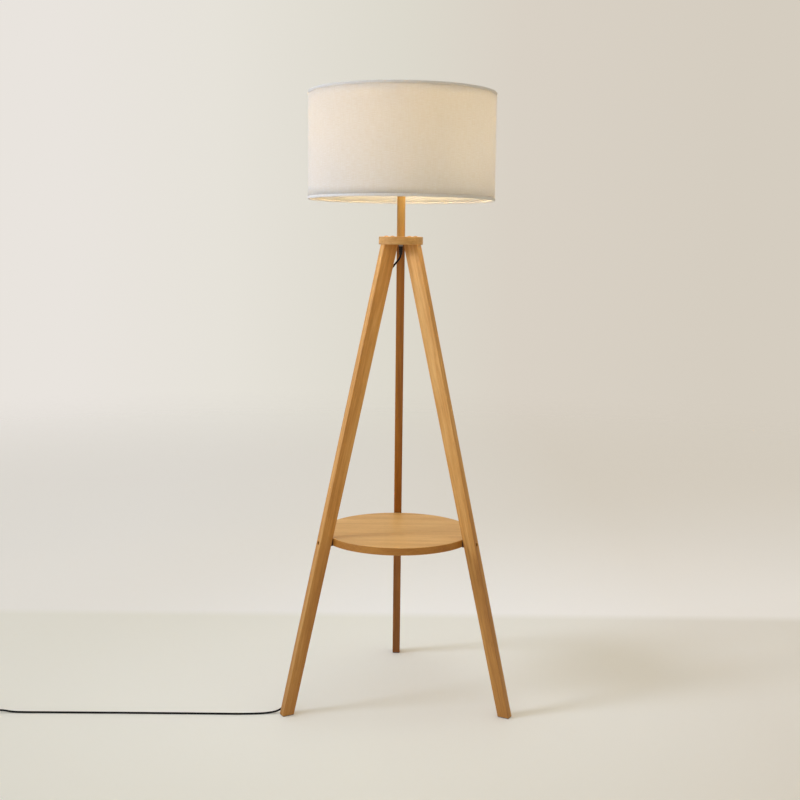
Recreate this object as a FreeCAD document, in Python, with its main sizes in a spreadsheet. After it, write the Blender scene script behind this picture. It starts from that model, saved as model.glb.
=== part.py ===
import FreeCAD, Part
import math
import os
import re

import Sketcher

# A tripod floor lamp: three tapered wood legs under a round hub, a shelf between them, a short
# wood pole, a linen drum shade, and a lead with a foot switch. Millimetres. The Z axis is the
# pole's axis, the floor is z = 0, and the front of the lamp looks along -Y.

doc = FreeCAD.newDocument("TripodFloorLamp")
sheet = doc.addObject("Spreadsheet::Sheet", "Sizes")

SIZES = {
    # Legs. Radii are from the lamp's axis, at the sawn foot and under the hub.
    "pad_thickness": 2.0,
    "pad_margin": 1.0,
    "foot_inner": 289.1,
    "foot_outer": 318.2,
    "top_inner": 13.1,
    "top_outer": 50.8,
    "leg_thickness": 20.0,
    "leg_edge": 1.6,
    # Hub, its screws and the buttons that hide them.
    "hub_base": 1129.0,
    "hub_thickness": 19.0,
    "hub_radius": 53.4,
    "hub_edge": 1.2,
    "inner_screw": 23.3,
    "outer_screw": 40.4,
    "plug_radius": 5.8,
    "plug_depth": 8.0,
    "plug_proud": 2.2,
    "screw_radius": 2.1,
    "screw_head": 4.4,
    "head_height": 3.2,
    "screw_grip": 22.0,
    # Shelf and what holds it.
    "shelf_base": 405.5,
    "shelf_thickness": 18.5,
    "shelf_gap": 0.9,
    "shelf_edge": 1.2,
    "spacer_width": 17.0,
    "shelf_screw_bore": 4.8,
    "shelf_screw_head": 4.3,
    "counterbore_depth": 8.0,
    "shelf_screw_grip": 26.0,
    # Pole and the threaded tube through it.
    "pole_radius": 9.9,
    "pole_length": 114.0,
    "tube_radius": 4.9,
    "tube_wall": 1.1,
    "tube_below": 4.0,
    "tube_above": 10.0,
    "recess_clear": 1.0,
    "recess_depth": 7.2,
    "washer_rim": 5.6,
    "washer_thickness": 1.6,
    "nut_wall": 3.1,
    "nut_thickness": 5.0,
    "pole_nut_wall": 3.5,
    "pole_nut_thickness": 3.0,
    "grip_radius": 4.75,
    "grip_tip_wall": 1.3,
    "grip_length": 20.0,
    "grip_taper": 7.0,
    "grip_spigot": 6.0,
    # Lampholder.
    "cap_height": 19.5,
    "cap_neck": 8.5,
    "cap_neck_height": 3.0,
    "cap_cone": 12.0,
    "holder_wall": 5.15,
    "insert_seat": 1.55,
    "flange_lip": 2.75,
    "flange_thickness": 3.0,
    "holder_height": 41.5,
    "ledge_height": 11.5,
    "spigot_height": 5.4,
    "insert_thickness": 6.0,
    "shell_wall": 0.6,
    "shell_height": 26.0,
    "contact_height": 7.6,
    "terminal_radius": 1.6,
    "terminal_place": 9.0,
    "terminal_drop": 6.0,
    # Bulb.
    "cap_radius": 13.1,
    "cap_foil": 0.4,
    "tip_radius": 4.5,
    "tip_height": 1.2,
    "insulator_height": 4.7,
    "screw_shell_height": 17.8,
    "waist_step": 2.1,
    "shoulder_step": 0.6,
    "bulb_flare_height": 44.0,
    "globe_radius": 30.0,
    "globe_wall": 1.2,
    "globe_sink": 8.0,
    "board_clear": 1.5,
    "board_thickness": 1.6,
    # Shade.
    "shade_radius": 225.0,
    "shade_rise": 87.0,
    "shade_height": 252.0,
    "panel_wall": 1.0,
    "trim_wall": 0.5,
    "trim_height": 6.0,
    "trim_lip": 1.1,
    "ring_wire": 1.8,
    "arm_wire": 1.4,
    "spider_width": 5.6,
    "spider_thickness": 2.0,
    "clamp_wall": 5.1,
    "clamp_height": 8.0,
    # Clearances.
    "slide_clear": 0.2,
    "thread_clear": 0.15,
    "bulb_clear": 0.3,
    "cloth_clear": 0.1,
    # Lead and its clips.
    "cord_radius": 2.3,
    "clip_drop": 149.0,
    "clip_pitch": 240.0,
    "clip_length": 8.0,
    "clip_wall": 1.3,
    "clip_lug": 6.0,
    "nail_radius": 0.8,
    "nail_head": 1.9,
    "nail_length": 10.0,
    "core_radius": 0.9,
    # Foot switch. It lies along X in the lead.
    "switch_middle": -1020.0,
    "switch_line": -157.0,
    "switch_length": 70.0,
    "switch_width": 34.0,
    "switch_corner": 7.0,
    "switch_wall": 2.0,
    "switch_foot": 1.0,
    "switch_foot_radius": 3.5,
    "base_thickness": 3.0,
    "cover_height": 15.5,
    "entry_height": 6.2,
    "switch_screw": 1.4,
    "switch_screw_grip": 7.0,
    "switch_post": 3.2,
    "button_radius": 11.0,
    "button_proud": 5.0,
    "button_lip": 1.6,
    "button_rim_height": 1.8,
    "button_travel": 3.0,
    "spring_radius": 3.6,
    "spring_wire": 0.35,
    "spring_turns": 5.0,
    "relief_length": 20.0,
    "relief_root_wall": 1.6,
    "relief_tip_wall": 0.6,
    # Coil of the lead that is put away, its tie, and the plug.
    "coil_along": -1150.0,
    "coil_across": -126.0,
    "coil_inner": 20.1,
    "coil_outer": 34.5,
    "coil_base": 1.0,
    "coil_height": 9.4,
    "tie_width": 10.0,
    "tie_wall": 0.8,
    "plug_back": -1086.0,
    "plug_line": -92.5,
    "plug_length": 34.0,
    "plug_width": 26.0,
    "plug_height": 13.6,
    "plug_corner": 4.0,
    "plug_relief": 22.0,
    "plug_relief_wall": 2.2,
    "pin_radius": 2.0,
    "pin_length": 19.0,
    "pin_spacing": 18.6,
    "pin_root": 12.0,
    "pin_root_radius": 1.6,
}

for row, (alias, number) in enumerate(SIZES.items(), 1):
    sheet.set(f"A{row}", alias)
    sheet.set(f"B{row}", str(number))
    sheet.setAlias(f"B{row}", alias)
doc.recompute()

WASHER_RADIUS = "(tube_radius + washer_rim)"
HUB_RECESS = f"({WASHER_RADIUS} + recess_clear)"
LEG_AZIMUTHS = {"leg_front_left": 210, "leg_front_right": 330, "leg_back": 90}
CLIP_COUNT = 4
UPRIGHT = FreeCAD.Rotation()
LYING = FreeCAD.Rotation(FreeCAD.Vector(0, 1, 0), 90)
VERTICAL = FreeCAD.Vector(0, 0, 1)
parts = []


# ---- Expressions --------------------------------------------------------------------------------

def bound(text):
    """An expression in which every size is read from the sheet."""
    return re.sub(r"[a-z_]{3,}", lambda m: "Sizes." + m[0] if m[0] in SIZES else m[0], str(text))


def value(text):
    """What an expression comes to, as a plain number of millimetres."""
    return float(sheet.evalExpression(bound(text)))


def leg_face(foot, top, height):
    """The radius of a leg's inner or outer face at a height, as an expression."""
    rise = f"(({height}) - pad_thickness) / (hub_base - pad_thickness)"
    return f"({foot} + ({top} - {foot}) * {rise})"


def bind(thing, **sizes):
    for name, text in sizes.items():
        thing.setExpression(name, bound(text))
    return thing


def place(thing, x="0", y="0", z="0", turn=UPRIGHT):
    """Puts a feature at a point worked out from the sizes, turned as given."""
    thing.Placement = FreeCAD.Placement(FreeCAD.Vector(value(x), value(y), value(z)), turn)
    for axis, text in zip("xyz", (x, y, z)):
        thing.setExpression("Placement.Base." + axis, bound(text))
    return thing


def around(radius, azimuth):
    """The x and y of a point at a radius and an azimuth in degrees, as expressions."""
    return f"({radius}) * cos({azimuth} deg)", f"({radius}) * sin({azimuth} deg)"


def part(label, thing):
    """Names a finished sub-part. Its label is its file's name."""
    thing.Label = label
    parts.append(thing)
    return thing


# ---- Ways of making a piece ---------------------------------------------------------------------

def pin_point(sketch, index, kind, axis, text):
    """Fixes one coordinate of a sketch corner to an expression."""
    amount = value(text)
    if abs(amount) < 1e-9:
        sketch.addConstraint(Sketcher.Constraint("PointOnObject", index, 1, axis))
        return
    ends = (-1, 1, index, 1) if amount > 0 else (index, 1, -1, 1)
    number = sketch.addConstraint(Sketcher.Constraint(kind, *ends, abs(amount)))
    sketch.setExpression(f"Constraints[{number}]", bound(text if amount > 0 else f"-({text})"))


def outline(body, plane, corners):
    """A closed outline of straight lines on one of the body's own planes."""
    sketch = body.newObject("Sketcher::SketchObject", body.Name + "_outline")
    support = next(f for f in body.Origin.OriginFeatures if f.Role == plane)
    sketch.AttachmentSupport = (support, [""])
    sketch.MapMode = "FlatFace"
    points = [FreeCAD.Vector(value(x), value(y), 0) for x, y in corners]
    for start, end in zip(points, points[1:] + points[:1]):
        sketch.addGeometry(Part.LineSegment(start, end), False)
    for index in range(len(points)):
        joined = (index, 2, (index + 1) % len(points), 1)
        sketch.addConstraint(Sketcher.Constraint("Coincident", *joined))
    for index, (x, y) in enumerate(corners):
        pin_point(sketch, index, "DistanceX", -2, x)
        pin_point(sketch, index, "DistanceY", -1, y)
    return sketch


def turned(name, corners):
    """A body turned about Z. Corners are pairs of radius and height."""
    body = doc.addObject("PartDesign::Body", name)
    sketch = outline(body, "XZ_Plane", corners)
    turning = body.newObject("PartDesign::Revolution", name + "_turning")
    turning.Profile = sketch
    turning.ReferenceAxis = (sketch, ["V_Axis"])
    turning.Angle = 360
    return body


def ring(name, inner, outer, base, height):
    """A plain turned ring, or a disc where the inner radius is 0."""
    top = f"({base}) + ({height})"
    return turned(name, [(inner, base), (outer, base), (outer, top), (inner, top)])


def sawn(name, plane, corners, thickness):
    """A body cut from board: an outline given a thickness, half of it each side of the plane."""
    body = doc.addObject("PartDesign::Body", name)
    sketch = outline(body, plane, corners)
    pad = body.newObject("PartDesign::Pad", name + "_pad")
    pad.Profile = sketch
    pad.SideType = "Symmetric"
    bind(pad, Length=thickness)
    return body


def soften(body, radius, wanted):
    """Rounds the edges of a body that the test picks."""
    doc.recompute()
    rough = body.Tip
    names = [f"Edge{i}" for i, edge in enumerate(rough.Shape.Edges, 1) if wanted(edge)]
    fillet = body.newObject("PartDesign::Fillet", rough.Name + "_fillet")
    fillet.Base = (rough, names)
    bind(fillet, Radius=radius)
    body.Tip = fillet
    return body


def block(name, length, width, base, height, corner):
    """A box with rounded upright corners, centred on its own Z axis."""
    body = doc.addObject("PartDesign::Body", name)
    east, north = f"({length}) / 2", f"({width}) / 2"
    corners = [(f"-{east}", f"-{north}"), (east, f"-{north}"), (east, north), (f"-{east}", north)]
    sketch = outline(body, "XY_Plane", corners)
    bind(sketch, **{"AttachmentOffset.Base.z": base})
    pad = body.newObject("PartDesign::Pad", name + "_pad")
    pad.Profile = sketch
    bind(pad, Length=height)
    return soften(body, corner, is_upright)


def is_upright(edge):
    return edge.Curve.TypeId == "Part::GeomLine" and abs(edge.Curve.Direction.z) > 0.999


def is_top(height):
    """A test for the edges that lie at one height."""
    level = value(height)

    def test(edge):
        box = edge.BoundBox
        return abs(box.ZMin - level) < 1e-3 and abs(box.ZMax - level) < 1e-3

    return test


def rod(name, radius, length, x="0", y="0", z="0", turn=UPRIGHT):
    """A plain cylinder, used as a pin or as a drill."""
    cylinder = bind(doc.addObject("Part::Cylinder", name), Radius=radius, Height=length)
    return place(cylinder, x, y, z, turn)


def cone(name, radius, end_radius, length, x="0", y="0", z="0", turn=UPRIGHT):
    shape = doc.addObject("Part::Cone", name)
    bind(shape, Radius1=radius, Radius2=end_radius, Height=length)
    return place(shape, x, y, z, turn)


def joined(name, pieces):
    fuse = doc.addObject("Part::MultiFuse", name)
    fuse.Shapes = pieces
    return fuse


def cut(name, base, tools):
    result = doc.addObject("Part::Cut", name)
    result.Base = base
    result.Tool = tools[0] if len(tools) == 1 else joined(name + "_tools", tools)
    return result


def group(name, pieces):
    """Identical pieces that share one node, each a solid of its own."""
    compound = doc.addObject("Part::Compound", name)
    compound.Links = pieces
    return compound


def hexagon(name, corner, bore, base, thickness):
    """A nut on the lamp's axis."""
    prism = doc.addObject("Part::Prism", name + "_blank")
    prism.Polygon = 6
    bind(prism, Circumradius=corner, Height=thickness)
    place(prism, z=base)
    return cut(name, prism, [rod(name + "_bore", bore, thickness, z=base)])


def radial_turn(azimuth):
    """Turns a piece that stands along Z so that it lies along a radius."""
    return FreeCAD.Rotation(VERTICAL, azimuth) * LYING


# ---- Legs, hub and shelf ------------------------------------------------------------------------

SHELF_TOP = "(shelf_base + shelf_thickness)"
SHELF_MIDDLE = "(shelf_base + shelf_thickness / 2)"
SHELF_RADIUS = f"({leg_face('foot_inner', 'top_inner', SHELF_TOP)} - shelf_gap)"
HEAD_SEAT = f"({leg_face('foot_outer', 'top_outer', SHELF_MIDDLE)} - counterbore_depth)"
HUB_TOP = "(hub_base + hub_thickness)"
PLUG_BASE = f"({HUB_TOP} - plug_depth)"
SCREW_SEAT = f"({PLUG_BASE} - head_height - slide_clear)"


def make_leg(label, azimuth):
    corners = [
        ("foot_inner", "pad_thickness"),
        ("foot_outer", "pad_thickness"),
        ("top_outer", "hub_base"),
        ("top_inner", "hub_base"),
    ]
    board = sawn(label + "_board", "XZ_Plane", corners, "leg_thickness")
    soften(board, "leg_edge", lambda edge: edge.Length > 10 * value("leg_thickness"))
    pilot = "screw_radius + slide_clear"
    depth = "hub_base - screw_grip - slide_clear"
    tools = [
        rod(label + "_inner_pilot", pilot, "screw_grip + 1", "inner_screw", z=depth),
        rod(label + "_outer_pilot", pilot, "screw_grip + 1", "outer_screw", z=depth),
        rod(
            label + "_bore",
            "shelf_screw_bore / 2 + slide_clear",
            "leg_thickness * 4",
            f"{SHELF_RADIUS} - leg_thickness",
            z=SHELF_MIDDLE,
            turn=LYING,
        ),
        rod(
            label + "_counterbore",
            "shelf_screw_head + slide_clear",
            "leg_thickness * 2",
            HEAD_SEAT,
            z=SHELF_MIDDLE,
            turn=LYING,
        ),
    ]
    leg = cut(label + "_cut", board, tools)
    leg.Placement = FreeCAD.Placement(FreeCAD.Vector(), FreeCAD.Rotation(VERTICAL, azimuth))
    return part(label, leg)


def make_foot_pads():
    pads = []
    for azimuth in LEG_AZIMUTHS.values():
        pad = doc.addObject("Part::Box", f"foot_pad_{azimuth}")
        bind(
            pad,
            Length="foot_outer - foot_inner - 2 * pad_margin",
            Width="leg_thickness - 2 * pad_margin",
            Height="pad_thickness",
        )
        back = f"(foot_inner + pad_margin) * cos({azimuth} deg)"
        side = f"(leg_thickness / 2 - pad_margin) * sin({azimuth} deg)"
        x = f"{back} + {side}"
        back = f"(foot_inner + pad_margin) * sin({azimuth} deg)"
        side = f"(leg_thickness / 2 - pad_margin) * cos({azimuth} deg)"
        y = f"{back} - {side}"
        pads.append(place(pad, x, y, turn=FreeCAD.Rotation(VERTICAL, azimuth)))
    part("foot_pads", group("foot_pads_group", pads))


def screw_places():
    """The name, radius and azimuth of each of the hub's six screws."""
    for azimuth in LEG_AZIMUTHS.values():
        for radius in ("inner_screw", "outer_screw"):
            yield f"{radius}_{azimuth}", radius, azimuth


def make_hub():
    bore = "tube_radius + slide_clear"
    recess = "hub_base + recess_depth"
    corners = [
        (bore, recess),
        (HUB_RECESS, recess),
        (HUB_RECESS, "hub_base"),
        ("hub_radius", "hub_base"),
        ("hub_radius", HUB_TOP),
        (bore, HUB_TOP),
    ]
    disc = turned("hub_blank", corners)
    rim = value("hub_radius") * 6
    soften(disc, "hub_edge", lambda edge: edge.Length > rim)
    drills = []
    for name, radius, azimuth in screw_places():
        x, y = around(radius, azimuth)
        shank = "screw_radius + slide_clear"
        drills.append(rod(name + "_drill", shank, "hub_thickness + 2", x, y, "hub_base - 1"))
        pocket = "plug_radius + slide_clear / 2"
        drills.append(rod(name + "_pocket", pocket, "hub_thickness", x, y, SCREW_SEAT))
    part("hub_disc", cut("hub_cut", disc, drills))


def make_hub_screws():
    screws = []
    shank = f"({SCREW_SEAT} - hub_base + screw_grip)"
    for name, radius, azimuth in screw_places():
        corners = [
            ("0", f"{SCREW_SEAT} - {shank}"),
            ("screw_radius / 3", f"{SCREW_SEAT} - {shank}"),
            ("screw_radius", f"{SCREW_SEAT} - {shank} + 2 * screw_radius"),
            ("screw_radius", SCREW_SEAT),
            ("screw_head", SCREW_SEAT),
            ("screw_head", f"{SCREW_SEAT} + head_height / 2"),
            ("screw_head / 2", f"{SCREW_SEAT} + head_height"),
            ("0", f"{SCREW_SEAT} + head_height"),
        ]
        x, y = around(radius, azimuth)
        screws.append(place(turned(name + "_screw", corners), x, y))
    part("hub_screws", group("hub_screws_group", screws))


def make_hub_plugs():
    """Buttons with a domed top that stands proud of the hub."""
    plugs = []
    dome = "((plug_radius * plug_radius + plug_proud * plug_proud) / (2 * plug_proud))"
    for name, radius, azimuth in screw_places():
        x, y = around(radius, azimuth)
        stem = rod(name + "_stem", "plug_radius", "plug_depth + plug_proud", x, y, PLUG_BASE)
        ball = bind(doc.addObject("Part::Sphere", name + "_ball"), Radius=dome)
        place(ball, x, y, f"{HUB_TOP} + plug_proud - {dome}")
        plug = doc.addObject("Part::Common", name + "_button")
        plug.Base = stem
        plug.Tool = ball
        plugs.append(plug)
    part("hub_plugs", group("hub_plugs_group", plugs))


def make_shelf():
    disc = ring("shelf_blank", "0", SHELF_RADIUS, "shelf_base", "shelf_thickness")
    rim = value(SHELF_RADIUS) * 6
    soften(disc, "shelf_edge", lambda edge: edge.Length > rim)
    drills = []
    for name, azimuth in LEG_AZIMUTHS.items():
        x, y = around(f"{SHELF_RADIUS} - shelf_screw_grip - slide_clear", azimuth)
        bore = "shelf_screw_bore / 2 + slide_clear"
        length = "shelf_screw_grip * 2"
        turn = radial_turn(azimuth)
        drills.append(rod(name + "_shelf_drill", bore, length, x, y, SHELF_MIDDLE, turn))
    part("shelf", cut("shelf_cut", disc, drills))


def make_shelf_fixings():
    """Wedges that fill the gap between the rim and the leaning legs, and the screws through them."""
    spacers, screws = [], []
    for name, azimuth in LEG_AZIMUTHS.items():
        corners = [
            (SHELF_RADIUS, "shelf_base"),
            (leg_face("foot_inner", "top_inner", "shelf_base"), "shelf_base"),
            (leg_face("foot_inner", "top_inner", SHELF_TOP), SHELF_TOP),
            (SHELF_RADIUS, SHELF_TOP),
        ]
        wedge = sawn(name + "_wedge", "XZ_Plane", corners, "spacer_width")
        bore = rod(
            name + "_wedge_bore",
            "shelf_screw_bore / 2 + slide_clear",
            "leg_thickness",
            f"{SHELF_RADIUS} - leg_thickness / 2",
            z=SHELF_MIDDLE,
            turn=LYING,
        )
        spacer = cut(name + "_spacer", wedge, [bore])
        turn = FreeCAD.Rotation(VERTICAL, azimuth)
        spacer.Placement = FreeCAD.Placement(FreeCAD.Vector(), turn)
        spacers.append(spacer)
        inner_end = f"({SHELF_RADIUS} - shelf_screw_grip)"
        x, y = around(inner_end, azimuth)
        shank_length = f"{HEAD_SEAT} - {inner_end}"
        lie = radial_turn(azimuth)
        shank = rod(name + "_shank", "shelf_screw_bore / 2", shank_length, x, y, SHELF_MIDDLE, lie)
        x, y = around(HEAD_SEAT, azimuth)
        head = rod(name + "_head", "shelf_screw_head", "head_height", x, y, SHELF_MIDDLE, lie)
        x, y = around(f"{HEAD_SEAT} + head_height / 2", azimuth)
        socket = doc.addObject("Part::Prism", name + "_hex_socket")
        socket.Polygon = 6
        bind(socket, Circumradius="shelf_screw_head / 2", Height="head_height")
        place(socket, x, y, SHELF_MIDDLE, lie)
        screws.append(cut(name + "_shelf_screw", joined(name + "_bolt", [shank, head]), [socket]))
    part("shelf_spacers", group("shelf_spacers_group", spacers))
    part("shelf_screws", group("shelf_screws_group", screws))


# ---- Pole, threaded tube and cord grip ----------------------------------------------------------

POLE_TOP = f"({HUB_TOP} + pole_length)"
CAP_BASE = f"({POLE_TOP} + pole_nut_thickness)"
TUBE_END = "(hub_base - tube_below)"
TUBE_TOP = f"({CAP_BASE} + tube_above)"
TUBE_BORE = "(tube_radius - tube_wall)"
GRIP_TIP = f"({TUBE_END} - grip_length)"


def make_stem():
    bore = "tube_radius + slide_clear"
    part("pole", ring("pole_turning", bore, "pole_radius", HUB_TOP, "pole_length"))
    tube = ring("tube_turning", TUBE_BORE, "tube_radius", TUBE_END, f"{TUBE_TOP} - {TUBE_END}")
    part("threaded_tube", tube)
    ceiling = "hub_base + recess_depth"
    thread = "tube_radius + thread_clear"
    washer_base = f"({ceiling} - washer_thickness)"
    washer = ring("washer_turning", bore, WASHER_RADIUS, washer_base, "washer_thickness")
    part("hub_washer", washer)
    nut_base = f"{washer_base} - nut_thickness"
    part("hub_nut", hexagon("hub_nut_cut", "tube_radius + nut_wall", thread, nut_base, "nut_thickness"))
    corner = "tube_radius + pole_nut_wall"
    part("pole_nut", hexagon("pole_nut_cut", corner, thread, POLE_TOP, "pole_nut_thickness"))


def make_grip():
    """The grip's spigot is inside the tube, and the lead runs through it."""
    bore = "cord_radius + slide_clear"
    spigot = f"{TUBE_BORE} - slide_clear"
    corners = [
        (bore, GRIP_TIP),
        ("cord_radius + grip_tip_wall", GRIP_TIP),
        ("grip_radius", f"{GRIP_TIP} + grip_taper"),
        ("grip_radius", TUBE_END),
        (spigot, TUBE_END),
        (spigot, f"{TUBE_END} + grip_spigot"),
        (bore, f"{TUBE_END} + grip_spigot"),
    ]
    part("cord_grip", turned("grip_turning", corners))
    end = f"({TUBE_TOP} + 3)"
    part("inner_cord", ring("inner_cord_run", "0", "cord_radius", GRIP_TIP, f"{end} - {GRIP_TIP}"))
    cores = []
    for name, side in (("live", 1), ("neutral", -1)):
        start = FreeCAD.Vector(side * value("core_radius + 0.2"), 0, value(end))
        stop_x = side * value("terminal_place")
        stop = FreeCAD.Vector(stop_x, 0, value(f"{INSERT_BASE} - terminal_drop"))
        turn = FreeCAD.Rotation(VERTICAL, stop - start)
        lift = "core_radius"
        core = rod(name + "_core", "core_radius", "1", str(start.x), "0", f"{end} + {lift}", turn)
        core.setExpression("Height", None)
        core.Height = (stop - start).Length - 2 * value(lift)
        cores.append(core)
    part("holder_wires", group("holder_wires_group", cores))


# ---- Lampholder ---------------------------------------------------------------------------------

BODY_BASE = f"({CAP_BASE} + cap_height)"
LEDGE = f"({BODY_BASE} + ledge_height)"
INSERT_BASE = f"({LEDGE} - insert_thickness)"
HOLDER_TOP = f"({BODY_BASE} + holder_height)"
SHELL_INNER = "(cap_radius + bulb_clear)"
BORE = f"({SHELL_INNER} + shell_wall + 3 * slide_clear)"
HOLDER_RADIUS = f"({BORE} + holder_wall)"
INSERT_RADIUS = f"({BORE} + insert_seat)"
FLANGE_RADIUS = f"({HOLDER_RADIUS} + flange_lip)"
SPIDER_BORE = f"({HOLDER_RADIUS} + bulb_clear * 2)"
SPIDER_RIM = f"({SPIDER_BORE} + spider_width)"
FLANGE_TOP = f"({BODY_BASE} + flange_thickness)"
CLAMP_BASE = f"({FLANGE_TOP} + spider_thickness)"


def make_holder():
    spigot = f"({INSERT_RADIUS} - slide_clear)"
    hollow = f"({spigot} - 2)"
    spigot_top = f"({BODY_BASE} + spigot_height)"
    neck = "tube_radius + thread_clear"
    cap = [
        (neck, CAP_BASE),
        ("cap_neck", CAP_BASE),
        ("cap_neck", f"{CAP_BASE} + cap_neck_height"),
        (HOLDER_RADIUS, f"{CAP_BASE} + cap_cone"),
        (HOLDER_RADIUS, BODY_BASE),
        (spigot, BODY_BASE),
        (spigot, spigot_top),
        (hollow, spigot_top),
        (hollow, f"{CAP_BASE} + cap_cone + 2"),
        ("cap_neck", f"{CAP_BASE} + cap_neck_height + 2.5"),
        (neck, f"{CAP_BASE} + cap_neck_height + 2.5"),
    ]
    part("holder_cap", turned("cap_turning", cap))
    body = [
        (INSERT_RADIUS, BODY_BASE),
        (FLANGE_RADIUS, BODY_BASE),
        (FLANGE_RADIUS, FLANGE_TOP),
        (HOLDER_RADIUS, FLANGE_TOP),
        (HOLDER_RADIUS, HOLDER_TOP),
        (BORE, HOLDER_TOP),
        (BORE, LEDGE),
        (INSERT_RADIUS, LEDGE),
    ]
    part("holder_body", turned("holder_body_turning", body))
    clamp = f"({HOLDER_RADIUS} + thread_clear)"
    clamp_ring = ring("clamp_turning", clamp, f"{clamp} + clamp_wall", CLAMP_BASE, "clamp_height")
    part("shade_clamp_ring", clamp_ring)
    radius = f"{INSERT_RADIUS} - slide_clear"
    part("holder_insert", ring("insert_turning", "0", radius, INSERT_BASE, "insert_thickness"))
    shell = ring("shell_turning", SHELL_INNER, f"{SHELL_INNER} + shell_wall", LEDGE, "shell_height")
    part("socket_shell", shell)
    head = f"({LEDGE} + contact_height)"
    contact = [
        ("0", LEDGE),
        ("tip_radius", LEDGE),
        ("tip_radius", f"{LEDGE} + 1"),
        ("tip_radius / 2", f"{LEDGE} + 1"),
        ("tip_radius / 2", f"{head} - 1.5"),
        ("tip_radius * 0.8", f"{head} - 1.5"),
        ("tip_radius * 0.8", head),
        ("0", head),
    ]
    part("centre_contact", turned("contact_turning", contact))
    screws = []
    for name, side in (("live", ""), ("neutral", "-")):
        x = f"{side}terminal_place"
        base = f"{INSERT_BASE} - terminal_drop"
        screws.append(rod(name + "_terminal", "terminal_radius", "terminal_drop", x, "0", base))
    part("terminal_screws", group("terminal_screws_group", screws))


# ---- Bulb ---------------------------------------------------------------------------------------

TIP = f"({LEDGE} + contact_height + bulb_clear)"
INSULATOR_BASE = f"({TIP} + tip_height + cloth_clear)"
SCREW_BASE = f"({INSULATOR_BASE} + insulator_height)"
FLARE_BASE = f"({SCREW_BASE} + screw_shell_height)"
SHOULDER = f"({FLARE_BASE} + bulb_flare_height)"
GLOBE_MOUTH = "sqrt(globe_radius * globe_radius - globe_sink * globe_sink)"
SHOULDER_RADIUS = f"({GLOBE_MOUTH} - shoulder_step)"
BOARD_RADIUS = f"({GLOBE_MOUTH} - globe_wall * 1.1 - board_clear)"


def make_bulb():
    tip = [("0", TIP), ("tip_radius * 0.7", TIP)]
    tip += [("tip_radius", f"{TIP} + tip_height"), ("0", f"{TIP} + tip_height")]
    part("bulb_tip_contact", turned("tip_turning", tip))
    wide = "cap_radius - 1.5"
    insulator = [("0", INSULATOR_BASE), ("tip_radius + 1", INSULATOR_BASE)]
    insulator += [(wide, SCREW_BASE), ("0", SCREW_BASE)]
    part("bulb_insulator", turned("insulator_turning", insulator))
    foil = "cap_radius - cap_foil"
    shell = ring("cap_turning_shell", foil, "cap_radius", SCREW_BASE, "screw_shell_height")
    part("bulb_screw_shell", shell)
    body = [
        ("0", SCREW_BASE),
        (foil, SCREW_BASE),
        (foil, FLARE_BASE),
        ("cap_radius + waist_step", FLARE_BASE),
        ("cap_radius + waist_step + 0.5", f"{FLARE_BASE} + bulb_flare_height * 0.1"),
        ("cap_radius + waist_step + 4.0", f"{FLARE_BASE} + bulb_flare_height * 0.4"),
        (f"{SHOULDER_RADIUS} - 2.5", f"{FLARE_BASE} + bulb_flare_height * 0.8"),
        (SHOULDER_RADIUS, f"{FLARE_BASE} + bulb_flare_height * 0.96"),
        (SHOULDER_RADIUS, SHOULDER),
        ("0", SHOULDER),
    ]
    part("bulb_body", turned("bulb_body_turning", body))
    part("bulb_board", ring("board_turning", "0", BOARD_RADIUS, SHOULDER, "board_thickness"))
    centre = f"{SHOULDER} + globe_sink"
    outer = bind(doc.addObject("Part::Sphere", "globe_outer"), Radius="globe_radius")
    inner = bind(doc.addObject("Part::Sphere", "globe_inner"), Radius="globe_radius - globe_wall")
    place(outer, z=centre)
    place(inner, z=centre)
    depth = "globe_radius - globe_sink + 1"
    waste = rod("globe_waste", "globe_radius + 1", depth, z=f"{SHOULDER} - ({depth})")
    part("bulb_globe", cut("globe_cut", outer, [inner, waste]))


# ---- Shade --------------------------------------------------------------------------------------

SHADE_BASE = f"({HUB_TOP} + shade_rise)"
SHADE_TOP = f"({SHADE_BASE} + shade_height)"
PANEL_OUTER = "(shade_radius - trim_wall - cloth_clear)"
PANEL_INNER = f"({PANEL_OUTER} - panel_wall)"
RING_RADIUS = f"({PANEL_INNER} - cloth_clear - ring_wire)"
TRIM_INNER = f"({RING_RADIUS} - ring_wire - cloth_clear)"
EDGE = "(trim_wall + cloth_clear)"


def make_trim(label, edge, inward, lip):
    """Tape folded over one edge of the drum and its wire. Inward is + up from the bottom edge."""
    skin = f"({TRIM_INNER} - trim_wall)"
    fold = f"({edge} {inward} trim_wall)"
    corners = [
        (skin, edge),
        ("shade_radius", edge),
        ("shade_radius", f"{edge} {inward} trim_height"),
        ("shade_radius - trim_wall", f"{edge} {inward} trim_height"),
        ("shade_radius - trim_wall", fold),
        (TRIM_INNER, fold),
        (TRIM_INNER, f"{edge} {inward} {lip}"),
        (skin, f"{edge} {inward} {lip}"),
    ]
    part(label, turned(label + "_turning", corners))


def wire_ring(label, height):
    wire = bind(doc.addObject("Part::Torus", label), Radius1=RING_RADIUS, Radius2="ring_wire")
    part(label, place(wire, z=height))


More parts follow.
